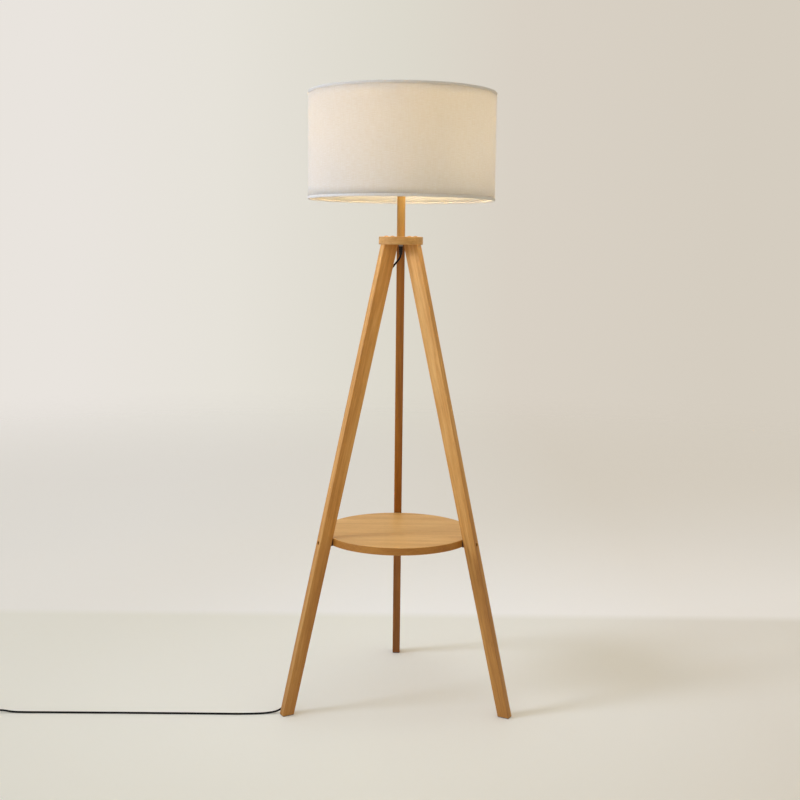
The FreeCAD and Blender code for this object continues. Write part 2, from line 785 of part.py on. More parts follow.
def make_shade():
    panel_height = f"shade_height - 2 * {EDGE}"
    base = f"{SHADE_BASE} + {EDGE}"
    part("shade_panel", ring("panel_turning", PANEL_INNER, PANEL_OUTER, base, panel_height))
    low = f"({SHADE_BASE} + {EDGE} + ring_wire)"
    wire_ring("shade_bottom_ring", low)
    wire_ring("shade_top_ring", f"{SHADE_TOP} - {EDGE} - ring_wire")
    make_trim("shade_bottom_trim", SHADE_BASE, "+", "trim_lip")
    make_trim("shade_top_trim", SHADE_TOP, "-", "trim_height")
    plate = ring("spider_plate", SPIDER_BORE, SPIDER_RIM, FLANGE_TOP, "spider_thickness")
    pieces = [plate]
    high = f"({CLAMP_BASE} - arm_wire - cloth_clear)"
    run = f"({RING_RADIUS} - ring_wire * 0.8 - {SPIDER_RIM} + 1)"
    slope = math.degrees(math.atan2(value(high) - value(low), value(run)))
    for azimuth in LEG_AZIMUTHS.values():
        x, y = around(f"{SPIDER_RIM} - 1", azimuth)
        fall = FreeCAD.Rotation(FreeCAD.Vector(0, 1, 0), slope)
        turn = FreeCAD.Rotation(VERTICAL, azimuth) * fall * LYING
        drop = f"(({high}) - ({low}))"
        length = f"sqrt({run} * {run} + {drop} * {drop})"
        pieces.append(rod(f"arm_{azimuth}", "arm_wire", length, x, y, high, turn))
    part("shade_spider", joined("spider_joined", pieces))


# ---- Lead ---------------------------------------------------------------------------------------

# How far the lead's middle stands off the leg's back face, and the face's mid line.
LEG_OFFSET = value("leg_thickness / 2 + cord_radius + slide_clear")
LEG_AXIS = FreeCAD.Vector(math.cos(math.radians(210)), math.sin(math.radians(210)), 0)
LEG_NORMAL = FreeCAD.Vector(-0.5, math.cos(math.radians(30)), 0)


def beside_leg(radius, stand_off, height):
    """A point behind the front left leg, so far from the axis and so far off the face's line."""
    point = LEG_AXIS * radius + LEG_NORMAL * (LEG_OFFSET + stand_off)
    point.z = height
    return point


def on_leg(height):
    """The lead's middle where it lies on the back face of the front left leg."""
    inner = value(leg_face("foot_inner", "top_inner", str(height)))
    outer = value(leg_face("foot_outer", "top_outer", str(height)))
    return beside_leg((inner + outer) / 2, 0, height)


FLOOR = value("cord_radius")
LEG_RUN_TOP = value(GRIP_TIP) - 73
LEG_RUN_FOOT = 46
ENTRY = value("entry_height")
SWITCH_NEAR = value("switch_middle + switch_length / 2 + relief_length")
SWITCH_FAR = value("switch_middle - switch_length / 2 - relief_length")
SWITCH_LINE = value("switch_line")

LEAD_ROUTE = [
    (0, 0, value(GRIP_TIP)),
    (-0.8, 0.1, value(GRIP_TIP) - 7),
    (-9.5, 1.0, value(GRIP_TIP) - 17.5),
    beside_leg(22.5, 2.6, value(GRIP_TIP) - 40),
    on_leg(LEG_RUN_TOP),
    on_leg(LEG_RUN_FOOT),
    beside_leg(301.8, 0.8, 19),
    beside_leg(316.8, 4.8, 6.4),
    (-306, -147.6, FLOOR),
    (-338, -153.2, FLOOR),
    (-380, -155.6, FLOOR),
    (-640, -156.0, FLOOR),
    (-890, -158.6, FLOOR),
    (-924, -158.2, FLOOR + 0.2),
    (-946, SWITCH_LINE, ENTRY),
    (SWITCH_NEAR, SWITCH_LINE, ENTRY),
]
COIL_ROUTE = [
    (SWITCH_FAR, SWITCH_LINE, ENTRY),
    (-1092, SWITCH_LINE, ENTRY),
    (-1114, -158.6, 3.9),
    (-1139, -158.0, 3.4),
]
PLUG_LEAD = value("plug_back - plug_relief")
PLUG_LINE = value("plug_line")
PLUG_AXIS = value("plug_height / 2")
PLUG_ROUTE = [
    (-1141, -94.6, 8.0),
    (-1124, PLUG_LINE, PLUG_AXIS),
    (PLUG_LEAD, PLUG_LINE, PLUG_AXIS),
]


def cord_path(label, route):
    """Straight runs joined by tangent arcs, each as large as its two runs allow."""
    points = [FreeCAD.Vector(*point) for point in route]
    start, edges, radii = points[0], [], []
    for before, corner, after in zip(points, points[1:], points[2:]):
        arrive, leave = corner - before, after - corner
        setback = 0.45 * min(arrive.Length, leave.Length)
        arrive.normalize()
        leave.normalize()
        half_turn = arrive.getAngle(leave) / 2
        radius = setback / math.tan(half_turn)
        inward = (leave - arrive).normalize()
        middle = corner + inward * (radius / math.cos(half_turn) - radius)
        arc_start, arc_end = corner - arrive * setback, corner + leave * setback
        edges.append(Part.LineSegment(start, arc_start).toShape())
        edges.append(Part.Arc(arc_start, middle, arc_end).toShape())
        radii.append(round(radius))
        start = arc_end
    edges.append(Part.LineSegment(start, points[-1]).toShape())
    wire = Part.Wire(edges)
    print(f"{label}: length {wire.Length:.0f} mm, radii {radii}")
    return wire


def make_cord(label, route):
    wire = cord_path(label, route)
    start = wire.Edges[0]
    along = start.tangentAt(start.FirstParameter)
    circle = Part.Circle(FreeCAD.Vector(*route[0]), along, value("cord_radius"))
    tube = wire.makePipeShell([Part.Wire(circle.toShape())], True, False)
    section = math.pi * value("cord_radius") ** 2
    ratio = abs(tube.Volume) / (section * wire.Length)
    print(f"{label}: volume over section times length {ratio:.4f}")
    cord = doc.addObject("Part::Feature", label + "_tube")
    cord.Shape = tube
    part(label, cord)


def make_clips():
    """Saddle clips on the leg's back face, each with a lug and a nail beside the lead."""
    clips, nails = [], []
    along = (on_leg(LEG_RUN_FOOT) - on_leg(LEG_RUN_TOP)).normalize()
    across = LEG_NORMAL.cross(along)
    channel = value("cord_radius + slide_clear")
    for number in range(CLIP_COUNT):
        height = value(f"hub_base - clip_drop - {number} * clip_pitch")
        foot = on_leg(height) - LEG_NORMAL * value("cord_radius + slide_clear")
        frame = FreeCAD.Matrix(
            across.x, LEG_NORMAL.x, along.x, foot.x,
            across.y, LEG_NORMAL.y, along.y, foot.y,
            across.z, LEG_NORMAL.z, along.z, foot.z,
            0, 0, 0, 1,
        )
        half = "(cord_radius + slide_clear + clip_wall)"
        lug = f"({half} + clip_lug)"
        crown = "(2 * cord_radius + 2 * slide_clear + clip_wall)"
        corners = [
            (f"-{half}", "0"),
            (lug, "0"),
            (lug, "clip_wall * 1.5"),
            (half, "clip_wall * 1.5"),
            (half, crown),
            (f"-{half}", crown),
        ]
        name = f"clip_{number}"
        saddle = sawn(name + "_saddle", "XY_Plane", corners, "clip_length")
        soften(saddle, "clip_wall", on_crown(value(crown)))
        slot = doc.addObject("Part::Box", name + "_slot")
        bind(slot, Length="2 * (cord_radius + slide_clear)", Width="cord_radius + slide_clear + 1")
        bind(slot, Height="2 * clip_length")
        place(slot, str(-channel), "-1", "-clip_length")
        round_slot = rod(name + "_round", str(channel), "2 * clip_length", y=str(channel))
        place(round_slot, y=str(channel), z="-clip_length")
        nail_x = f"({half} + clip_lug / 2)"
        bore = "nail_radius + slide_clear / 2"
        stand = FreeCAD.Rotation(FreeCAD.Vector(1, 0, 0), -90)
        hole = rod(name + "_hole", bore, "clip_length", nail_x, "-1", turn=stand)
        clip = cut(name, saddle, [slot, round_slot, hole])
        clip.Placement = FreeCAD.Placement(frame)
        clips.append(clip)
        head = rod(name + "_nail_head", "nail_head", "1", nail_x, "clip_wall * 1.5", turn=stand)
        shank = rod(name + "_nail", "nail_radius", "nail_length", nail_x, turn=stand)
        place(shank, nail_x, "clip_wall * 1.5 - nail_length", turn=stand)
        nail = joined(name + "_nail_whole", [head, shank])
        nail.Placement = FreeCAD.Placement(frame)
        nails.append(nail)
    part("cord_clips", group("cord_clips_group", clips))
    part("clip_nails", group("clip_nails_group", nails))


def on_crown(level):
    """A test for a clip's two long top edges."""

    def test(edge):
        box = edge.BoundBox
        return abs(box.YMin - level) < 1e-3 and box.ZLength > 1

    return test


# ---- Foot switch --------------------------------------------------------------------------------

BASE_TOP = "(switch_foot + base_thickness)"
COVER_TOP = f"({BASE_TOP} + cover_height)"
BUTTON_RIM = "(button_radius + button_lip)"
RIM_TOP = f"({COVER_TOP} - switch_wall - slide_clear)"
RIM_BASE = f"({RIM_TOP} - button_rim_height)"
SCREW_PLACE = "(switch_length / 2 - switch_corner)"


def at_switch(thing):
    return place(thing, "switch_middle", "switch_line")


def make_switch_shell():
    size = ("switch_length", "switch_width")
    plate = block("base_plate", *size, "switch_foot", "base_thickness", "switch_corner")
    drills, posts, pilots = [], [], []
    for name, side in (("near", ""), ("far", "-")):
        x = side + SCREW_PLACE
        bore = "switch_screw + slide_clear / 2"
        drills.append(rod(name + "_drill", bore, "base_thickness + 1", x, z="switch_foot - 0.5"))
        posts.append(rod(name + "_post", "switch_post", "cover_height - 1", x, z=BASE_TOP))
        pilots.append(rod(name + "_pilot", bore, "switch_screw_grip + 1", x, z=f"{BASE_TOP} - 0.5"))
    part("switch_base", at_switch(cut("base_cut", plate, drills)))
    outer = block("cover_outer", *size, BASE_TOP, "cover_height", "switch_corner")
    soften(outer, "switch_wall", is_top(COVER_TOP))
    inside = ("switch_length - 2 * switch_wall", "switch_width - 2 * switch_wall")
    hollow_base = f"{BASE_TOP} - 1"
    hollow_height = "cover_height - switch_wall + 1"
    corner = "switch_corner - switch_wall"
    hollow = block("cover_hollow", *inside, hollow_base, hollow_height, corner)
    hole = rod("cover_hole", "button_radius + slide_clear", "cover_height", z=RIM_TOP)
    shell = cut("cover_shell", outer, [hollow, hole])
    part("switch_cover", at_switch(cut("cover_cut", joined("cover_posted", [shell, *posts]), pilots)))


def make_switch_button():
    crown = f"({COVER_TOP} + button_proud)"
    post = f"({BASE_TOP} + button_travel + 2)"
    corners = [
        ("0", post),
        ("spring_radius / 2", post),
        ("spring_radius / 2", RIM_BASE),
        (BUTTON_RIM, RIM_BASE),
        (BUTTON_RIM, RIM_TOP),
        ("button_radius", RIM_TOP),
        ("button_radius", crown),
        ("0", crown),
    ]
    button = turned("button_turning", corners)
    soften(button, "switch_wall", is_top(crown))
    part("switch_button", at_switch(button))


def make_switch_spring():
    """A coil spring between the base and the button, on the button's post."""
    height = value(f"{RIM_BASE} - {BASE_TOP}") - 2 * value("spring_wire") - 2 * 0.05
    radius, wire = value("spring_radius"), value("spring_wire")
    turns = value("spring_turns")
    helix = Part.makeHelix(height / turns, height, radius)
    circle = Part.Circle(FreeCAD.Vector(radius, 0, 0), FreeCAD.Vector(0, 1, 0), wire)
    coil = Part.Wire(helix.Edges).makePipeShell([Part.Wire(circle.toShape())], True, True)
    spring = doc.addObject("Part::Feature", "spring_coil")
    spring.Shape = coil
    lift = value(BASE_TOP) + wire + 0.05
    place(spring, "switch_middle", "switch_line", str(lift))
    part("switch_spring", spring)


def make_switch_insides():
    contacts = []
    for name, side in (("near", 1), ("far", -1)):
        strip = doc.addObject("Part::Box", name + "_contact")
        bind(strip, Length="4", Width="switch_width / 4", Height="2.5")
        middle = f"switch_middle + {side} * ({BUTTON_RIM} + 5) - 2"
        contacts.append(place(strip, middle, "switch_line - switch_width / 8", BASE_TOP))
    part("switch_contacts", group("switch_contacts_group", contacts))
    screws, feet, reliefs = [], [], []
    for name, side in (("near", 1), ("far", -1)):
        x = f"switch_middle + {side} * {SCREW_PLACE}"
        length = "base_thickness + switch_screw_grip"
        screw = rod(name + "_screw", "switch_screw", length, x, "switch_line", "switch_foot")
        screws.append(screw)
        for other, sign in (("left", 1), ("right", -1)):
            y = f"switch_line + {sign} * (switch_width / 2 - switch_corner)"
            foot = rod(f"{name}_{other}_foot", "switch_foot_radius", "switch_foot", x, y)
            feet.append(foot)
        end = f"switch_middle + {side} * switch_length / 2"
        turn = FreeCAD.Rotation(FreeCAD.Vector(0, 1, 0), 90 * side)
        size = ("cord_radius + relief_root_wall", "cord_radius + relief_tip_wall", "relief_length")
        reliefs.append(cone(name + "_relief", *size, end, "switch_line", "entry_height", turn))
    part("switch_screws", group("switch_screws_group", screws))
    part("switch_feet", group("switch_feet_group", feet))
    part("switch_reliefs", group("switch_reliefs_group", reliefs))


# ---- Coil, tie and plug -------------------------------------------------------------------------

def make_coil():
    coil = ring("coil_turning", "coil_inner", "coil_outer", "coil_base", "coil_height")
    part("cord_coil", place(coil, "coil_along", "coil_across"))
    slack = "(2 * cloth_clear)"
    inner = f"(coil_inner - 1 - {slack})"
    outer = f"(coil_outer + {slack})"
    low = "(coil_base - cloth_clear)"
    high = f"(coil_base + coil_height + {slack})"
    wide = [
        (f"{inner} - tie_wall", f"{low} - tie_wall"),
        (f"{outer} + tie_wall", f"{low} - tie_wall"),
        (f"{outer} + tie_wall", f"{high} + tie_wall"),
        (f"{inner} - tie_wall", f"{high} + tie_wall"),
    ]
    window = [(inner, low), (outer, low), (outer, high), (inner, high)]
    strap = sawn("tie_outside", "XZ_Plane", wide, "tie_width")
    gap = sawn("tie_window", "XZ_Plane", window, "tie_width + 2")
    tie = cut("tie_cut", strap, [gap])
    turn = FreeCAD.Rotation(VERTICAL, 180)
    part("coil_tie", place(tie, "coil_along", "coil_across", turn=turn))


def make_plug():
    body = block("plug_block", "plug_length", "plug_width", "0", "plug_height", "plug_corner")
    soften(body, "plug_corner / 2", is_top("plug_height"))
    middle = "plug_back + plug_length / 2"
    place(body, middle, "plug_line")
    back = FreeCAD.Rotation(FreeCAD.Vector(0, 1, 0), -90)
    size = ("cord_radius + plug_relief_wall", "cord_radius + relief_tip_wall", "plug_relief")
    tail = cone("plug_tail", *size, "plug_back", "plug_line", "plug_height / 2", back)
    cuts, pins = [], []
    for name, side in (("left", 1), ("right", -1)):
        y = f"plug_line + {side} * pin_spacing / 2"
        front = "plug_back + plug_length"
        height = "plug_height / 2"
        pin = rod(name + "_pin", "pin_radius", "pin_length", front, y, height, LYING)
        inner = f"{front} - pin_root"
        root = rod(name + "_root", "pin_root_radius", "pin_root + 1", inner, y, height, LYING)
        pins.append(joined(name + "_whole_pin", [pin, root]))
        seat = rod(name + "_seat", "pin_root_radius", "pin_root + 1", inner, y, height, LYING)
        cuts.append(seat)
    part("plug_body", cut("plug_cut", joined("plug_joined", [body, tail]), cuts))
    part("plug_pins", group("plug_pins_group", pins))


# ---- Build, check and write ---------------------------------------------------------------------

for leg_label, leg_azimuth in LEG_AZIMUTHS.items():
    make_leg(leg_label, leg_azimuth)
make_foot_pads()
make_hub()
make_hub_screws()
make_hub_plugs()
make_shelf()
make_shelf_fixings()
make_stem()
make_grip()
make_holder()
make_bulb()
make_shade()
make_cord("cord_lead", LEAD_ROUTE)
make_clips()
make_switch_shell()
make_switch_button()
make_switch_spring()
make_switch_insides()
make_cord("cord_to_coil", COIL_ROUTE)
make_coil()
make_cord("cord_to_plug", PLUG_ROUTE)
make_plug()
doc.recompute()

for thing in doc.Objects:
    if {"Invalid", "Error"} & set(thing.State):
        raise RuntimeError(f"{thing.Label} failed: {thing.State}")
for thing in parts:
    if thing.Shape.isNull() or not thing.Shape.isValid() or not thing.Shape.Solids:
        raise RuntimeError(f"{thing.Label} has no valid solid")

os.makedirs("parts", exist_ok=True)
for thing in parts:
    thing.Shape.exportStep(f"parts/{thing.Label}.step")
print(f"{len(parts)} sub-parts written")
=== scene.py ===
import math

import bmesh
import bpy
from mathutils import Matrix, Vector


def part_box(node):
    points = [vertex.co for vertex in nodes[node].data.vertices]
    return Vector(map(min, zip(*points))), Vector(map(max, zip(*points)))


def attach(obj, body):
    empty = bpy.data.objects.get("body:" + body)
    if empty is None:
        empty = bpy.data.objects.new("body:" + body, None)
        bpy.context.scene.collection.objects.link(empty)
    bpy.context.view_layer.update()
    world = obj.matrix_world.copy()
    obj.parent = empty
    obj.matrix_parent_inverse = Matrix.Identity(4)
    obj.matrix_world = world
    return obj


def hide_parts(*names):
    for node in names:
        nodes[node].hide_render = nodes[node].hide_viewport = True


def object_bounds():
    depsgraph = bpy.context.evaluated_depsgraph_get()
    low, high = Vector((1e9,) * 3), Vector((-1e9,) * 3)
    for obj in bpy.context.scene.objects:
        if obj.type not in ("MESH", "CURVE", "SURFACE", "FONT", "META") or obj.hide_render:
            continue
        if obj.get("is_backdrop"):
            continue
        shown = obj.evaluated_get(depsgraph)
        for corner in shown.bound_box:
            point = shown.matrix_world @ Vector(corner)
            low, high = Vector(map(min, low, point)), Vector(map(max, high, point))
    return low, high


# %% [markdown]
# A tripod floor lamp stands on three tapered wood legs, with a round shelf between them and a
# linen drum shade on a short pole. The frame is the engineered model: its sizes and places are
# fixed, so each step below only dresses a piece or builds a richer one in the same place.

# %% Load the engineered frame
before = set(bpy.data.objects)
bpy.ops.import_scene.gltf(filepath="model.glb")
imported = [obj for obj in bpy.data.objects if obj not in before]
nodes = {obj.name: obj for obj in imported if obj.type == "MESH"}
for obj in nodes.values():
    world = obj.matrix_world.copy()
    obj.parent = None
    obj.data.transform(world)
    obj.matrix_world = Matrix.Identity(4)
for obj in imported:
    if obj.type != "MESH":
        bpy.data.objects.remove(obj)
frame_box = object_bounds()
MM = 0.001
print("engineered pieces:", len(nodes), "box:", [tuple(round(c, 3) for c in p) for p in frame_box])

# %% [markdown]
# Colours are chosen as the eye sees them, as hex values, and the renderer wants linear light.
# One function turns one into the other, so that no colour is converted twice.


# %% Colours
def linear(hex_value):
    """The linear colour of an sRGB hex value such as #C79A5B."""
    shares = [int(hex_value[i : i + 2], 16) / 255 for i in (1, 3, 5)]
    return tuple(s / 12.92 if s <= 0.04045 else ((s + 0.055) / 1.055) ** 2.4 for s in shares) + (1.0,)


print("honey wood in linear light:", [round(c, 3) for c in linear("#C79A5B")])

# %% [markdown]
# A material is a small net of nodes. One function adds a node, sets its values and links its
# inputs, so that each finish below reads as a short recipe.


# %% Adding a node
def add(tree, kind, inputs=None, stops=None, **settings):
    """Adds a node. Inputs are values, or the outputs of other nodes to link from."""
    made = tree.nodes.new(kind)
    for name, value in settings.items():
        setattr(made, name, value)
    for name, value in (inputs or {}).items():
        if isinstance(value, bpy.types.NodeSocket):
            tree.links.new(value, made.inputs[name])
        else:
            made.inputs[name].default_value = value
    if stops:
        elements = made.color_ramp.elements
        while len(elements) < len(stops):
            elements.new(0.5)
        for element, (place, colour) in zip(elements, stops):
            element.position = place
            element.color = linear(colour) if isinstance(colour, str) else (colour,) * 3 + (1.0,)
    return made


def material_tree(name):
    """A new empty material and its node tree."""
    material = bpy.data.materials.new(name)
    material.use_nodes = True
    material.node_tree.nodes.clear()
    return material, material.node_tree


def output(tree, shader):
    add(tree, "ShaderNodeOutputMaterial", {"Surface": shader.outputs[0]})


def per_metre(size_mm):
    """A noise scale whose features are about that many millimetres across."""
    return 1.0 / (size_mm * MM)


# %% [markdown]
# The legs, shelf, hub and pole are rubberwood with a honey stain and a satin lacquer. Its grain
# is straight and quiet: soft bands a few millimetres wide that run along each board, with fine
# pores a few tenths across. Each board is turned so that the bands follow it. The lacquer leaves
# a soft shine, a little duller in the pores.


# %% Honey stained rubberwood
def honey_wood(name, turn, middle, tones, shade_and_stain=("height", [(0.0, 1.0), (1.0, 1.0)])):
    """Lacquered rubberwood. The grain runs along Z, after the board's turn is undone.

    The last argument is a ramp that darkens the wood by height in metres ("height"), or by how
    level a face is, from 0 on an upright face to 1 on a level one ("level"). The darkening is
    painted shade: of the light falling off low on the legs, and on upright rims, which it also
    gives the darker tone of their end grain.
    """
    material, tree = material_tree(name)
    place = add(tree, "ShaderNodeTexCoord").outputs["Object"]
    along = add(
        tree,
        "ShaderNodeMapping",
        {"Vector": place, "Rotation": turn, "Location": middle, "Scale": (1, 1, 22)},
        vector_type="TEXTURE",
    ).outputs[0]
    drift = add(tree, "ShaderNodeTexNoise", {"Vector": along, "Scale": per_metre(26), "Detail": 3.0})
    bands = add(
        tree,
        "ShaderNodeTexNoise",
        {"Vector": along, "Scale": per_metre(5), "Detail": 4.0, "Roughness": 0.55, "Distortion": 0.3},
    )
    pores = add(
        tree,
        "ShaderNodeTexNoise",
        {"Vector": along, "Scale": per_metre(0.9), "Detail": 2.0, "Roughness": 0.6},
    )
    weigh = add(tree, "ShaderNodeMath", {0: drift.outputs[0], 1: 0.55}, operation="MULTIPLY")
    both = add(
        tree,
        "ShaderNodeMath",
        {0: bands.outputs[0], 1: 0.45, 2: weigh.outputs[0]},
        operation="MULTIPLY_ADD",
    )
    dark, usual, light = tones
    tone = add(
        tree,
        "ShaderNodeValToRGB",
        {"Fac": both.outputs[0]},
        stops=[(0.36, dark), (0.5, usual), (0.64, light)],
    )
    pits = add(
        tree, "ShaderNodeValToRGB", {"Fac": pores.outputs[0]}, stops=[(0.30, 0.80), (0.46, 1.0)]
    )
    colour = add(
        tree,
        "ShaderNodeMix",
        {0: 1.0, 6: tone.outputs[0], 7: pits.outputs[0]},
        data_type="RGBA",
        blend_type="MULTIPLY",
    )
    # Painted shade: the ramp darkens the low parts or the upright faces of the wood.
    measure, ramp = shade_and_stain
    facing = add(tree, "ShaderNodeNewGeometry").outputs["Normal"]
    read = add(tree, "ShaderNodeSeparateXYZ", {"Vector": facing if measure == "level" else place})
    upward = add(tree, "ShaderNodeMath", {0: read.outputs["Z"]}, operation="ABSOLUTE")
    depth = add(tree, "ShaderNodeValToRGB", {"Fac": upward.outputs[0]}, stops=ramp)
    shaded_wood = add(
        tree,
        "ShaderNodeMix",
        {0: 1.0, 6: colour.outputs[2], 7: depth.outputs[0]},
        data_type="RGBA",
        blend_type="MULTIPLY",
    )
    rough = add(
        tree,
        "ShaderNodeMapRange",
        {"Value": pores.outputs[0], "From Min": 0.3, "From Max": 0.7, "To Min": 0.6, "To Max": 0.48},
    )
    relief = add(
        tree,
        "ShaderNodeBump",
        {"Height": both.outputs[0], "Strength": 0.22, "Distance": 0.35 * MM},
    )
    pitted = add(
        tree,
        "ShaderNodeBump",
        {
            "Height": pores.outputs[0],
            "Strength": 0.18,
            "Distance": 0.12 * MM,
            "Normal": relief.outputs[0],
        },
    )
    shader = add(
        tree,
        "ShaderNodeBsdfPrincipled",
        {
            "Base Color": shaded_wood.outputs[2],
            "Roughness": rough.outputs[0],
            "Normal": pitted.outputs[0],
            "IOR": 1.5,
            "Specular IOR Level": 0.42,
            "Coat Weight": 0.05,
            "Coat Roughness": 0.3,
        },
    )
    output(tree, shader)
    return material


def dress(material, *names):
    """Gives engineered pieces a finish. Their shape stays as it is."""
    for name in names:
        nodes[name].data.materials.clear()
        nodes[name].data.materials.append(material)


# %% [markdown]
# A leg leans out by about fifteen degrees, and its grain leans with it. The turn that the
# pattern needs comes from the leg's own line: out by azimuth, then down its slope. The back leg's
# darker tones are painted shade, for it faces down and away from the light, and the end grain of
# the hub's buttons is darker. The tone is deepest low on the legs, as painted shade, and on the
# rims of the round boards, as painted shade together with their darker end grain.

# %% Wood on the legs, hub, pole and shelf
# Radii of a leg's middle line at its foot and under the hub, and the rise between them.
FOOT_REACH, HUB_REACH, LEG_RISE = 303.6, 32.0, 1127.0
LEAN = math.atan2(FOOT_REACH - HUB_REACH, LEG_RISE)
LEG_AZIMUTHS = {"leg_front_left": 210, "leg_front_right": 330, "leg_back": 90}
LEG_TONES = {
    "leg_front_left": ("#B67B35", "#CC9045", "#DCA65C"),
    "leg_front_right": ("#B77D37", "#CD9348", "#DFAC63"),
    # Painted shade: the back leg's darker tones stand for the shade it stands in.
    "leg_back": ("#8C5210", "#A26417", "#B57420"),
}
# Darker towards the feet, standing in for the light that falls off there.
LEG_FALLOFF_SHADE = ("height", [(0.0, "#DAD2BE"), (0.25, "#E2DCCC"), (0.5, "#F6F4EF"), (0.85, "#FFFFFF")])
# The rim of a round board is drawn darker than its face: partly end grain, which soaks up more stain, and
# partly painted shade on its upright faces.
SHELF_RIM_GRAIN_AND_SHADE = ("level", [(0.3, "#CEB681"), (0.75, "#FFFFFF")])
HUB_RIM_GRAIN_AND_SHADE = ("level", [(0.3, "#D8DAD4"), (0.75, "#FFFFFF")])
for leg, azimuth in LEG_AZIMUTHS.items():
    lean = (0, -LEAN, math.radians(azimuth))
    wood = honey_wood("rubberwood_" + leg, lean, (0.01 * azimuth, 0, 0), LEG_TONES[leg], LEG_FALLOFF_SHADE)
    dress(wood, leg)
ACROSS = (0, math.radians(90), 0)
UPRIGHT = (0, 0, 0)
SHELF_TONES = ("#C68F46", "#D29E55", "#DCAA61")
HUB_TONES = ("#C88E46", "#D9A25B", "#E6B26D")
POLE_TONES = ("#9A6D2A", "#A77D36", "#AE8640")
BUTTON_TONES = ("#B07635", "#BF8641", "#CF9851")
# The wedges at the shelf's rim are nearly black, as painted shade of the narrow gap between leg and rim.
WEDGE_SHADE_TONES = ("#3E2410", "#4C2E16", "#5A381D")
dress(honey_wood("rubberwood_shelf", ACROSS, (0, 0.31, 0), SHELF_TONES, SHELF_RIM_GRAIN_AND_SHADE), "shelf")
dress(honey_wood("rubberwood_hub", ACROSS, (0, 0.12, 0), HUB_TONES, HUB_RIM_GRAIN_AND_SHADE), "hub_disc")
dress(honey_wood("rubberwood_pole", UPRIGHT, (0.4, 0, 0), POLE_TONES), "pole")
dress(honey_wood("rubberwood_buttons", UPRIGHT, (0, 0.7, 0), BUTTON_TONES), "hub_plugs")
dress(honey_wood("rubberwood_wedges_painted_shade", ACROSS, (0.2, 0, 0), WEDGE_SHADE_TONES), "shelf_spacers")
print("wood materials:", sum(m.name.startswith("rubberwood") for m in bpy.data.materials))

# %% [markdown]
# Hard plastics come from a mould, so their skin is even, with a faint orange peel. Steel and
# brass parts are turned or drawn, and their skin is finer and tighter. Both are one recipe with
# different values: a noise as fine as the skin's grain moves the roughness and the relief.


# %% Moulded and drawn finishes
def fine_skin(name, colour, roughness, grain_mm, relief_mm, metallic=0.0, spread=0.08, **values):
    """An even skin with a fine grain that moves its tone, its gloss and its relief."""
    material, tree = material_tree(name)
    place = add(tree, "ShaderNodeTexCoord").outputs["Object"]
    grain = add(
        tree,
        "ShaderNodeTexNoise",
        {"Vector": place, "Scale": per_metre(grain_mm), "Detail": 3.0, "Roughness": 0.6},
    )
    wear = add(tree, "ShaderNodeTexNoise", {"Vector": place, "Scale": per_metre(9), "Detail": 2.0})
    shade = add(tree, "ShaderNodeValToRGB", {"Fac": wear.outputs[0]}, stops=[(0.35, 0.86), (0.65, 1.0)])
    tone = add(
        tree,
        "ShaderNodeMix",
        {0: 1.0, 6: linear(colour), 7: shade.outputs[0]},
        data_type="RGBA",
        blend_type="MULTIPLY",
    )
    rough = add(
        tree,
        "ShaderNodeMapRange",
        {
            "Value": grain.outputs[0],
            "From Min": 0.3,
            "From Max": 0.7,
            "To Min": max(roughness - spread, 0.05),
            "To Max": min(roughness + spread, 1.0),
        },
    )
    relief = add(
        tree,
        "ShaderNodeBump",
        {"Height": grain.outputs[0], "Strength": 0.35, "Distance": relief_mm * MM},
    )
    inputs = {
        "Base Color": tone.outputs[2],
        "Roughness": rough.outputs[0],
        "Normal": relief.outputs[0],
        "Metallic": metallic,
    }
    inputs.update({key.replace("_", " "): value for key, value in values.items()})
    output(tree, add(tree, "ShaderNodeBsdfPrincipled", inputs))
    return material


# Grey wool felt on the feet: matt and fluffy, so sheen lifts its edges.
felt = fine_skin(
    "wool_felt", "#6F6A62", 0.95, 0.8, 0.5, spread=0.04, Sheen_Weight=0.6, Sheen_Roughness=0.5
)
# Zinc plated steel: cool, bright and slightly cloudy.
zinc = fine_skin("zinc_plated_steel", "#B9BCBE", 0.32, 0.5, 0.02, metallic=1.0)
# Blackened steel: a dark oxide with an oily shine.
black_steel = fine_skin("blackened_steel", "#1C1B1A", 0.38, 0.4, 0.03, metallic=0.6)
# Black rubber and soft PVC: matt, with dust in the pores of the skin.
rubber = fine_skin("black_rubber", "#141414", 0.62, 0.5, 0.06, IOR=1.52)
pvc = fine_skin("black_pvc_sheath", "#060505", 0.5, 0.7, 0.05, Specular_IOR_Level=0.2)
# Moulded ABS of the switch and the plug: finely spark eroded, so it looks satin.
abs_black = fine_skin("black_abs", "#17181A", 0.42, 0.35, 0.04, IOR=1.54)
# Phenolic resin of the lampholder: hard pressed, with a duller gloss than lacquer.
phenolic = fine_skin("black_phenolic", "#1E1D1C", 0.34, 0.6, 0.03, IOR=1.58)
# Nylon of the clips: slightly waxy, so its highlights are broad.
nylon = fine_skin("black_nylon", "#191919", 0.5, 0.4, 0.05, IOR=1.53)
# Sleeving of the cores inside the holder: soft blue PVC.
insulation = fine_skin("core_insulation", "#3C5A8C", 0.5, 0.4, 0.02)
# Steatite that carries the contacts: a dry off-white ceramic.
steatite = fine_skin("steatite", "#D9D4C8", 0.55, 0.4, 0.04, IOR=1.6)
# Brass contacts and socket shell: drawn thin, yellow and bright.
brass = fine_skin("drawn_brass", "#C9A557", 0.28, 0.3, 0.02, metallic=1.0)
# Nickel on the bulb's cap and the plug's pins: a warm grey mirror with a fine haze.
nickel = fine_skin("nickel_plate", "#C6C2B8", 0.2, 0.3, 0.01, metallic=1.0)
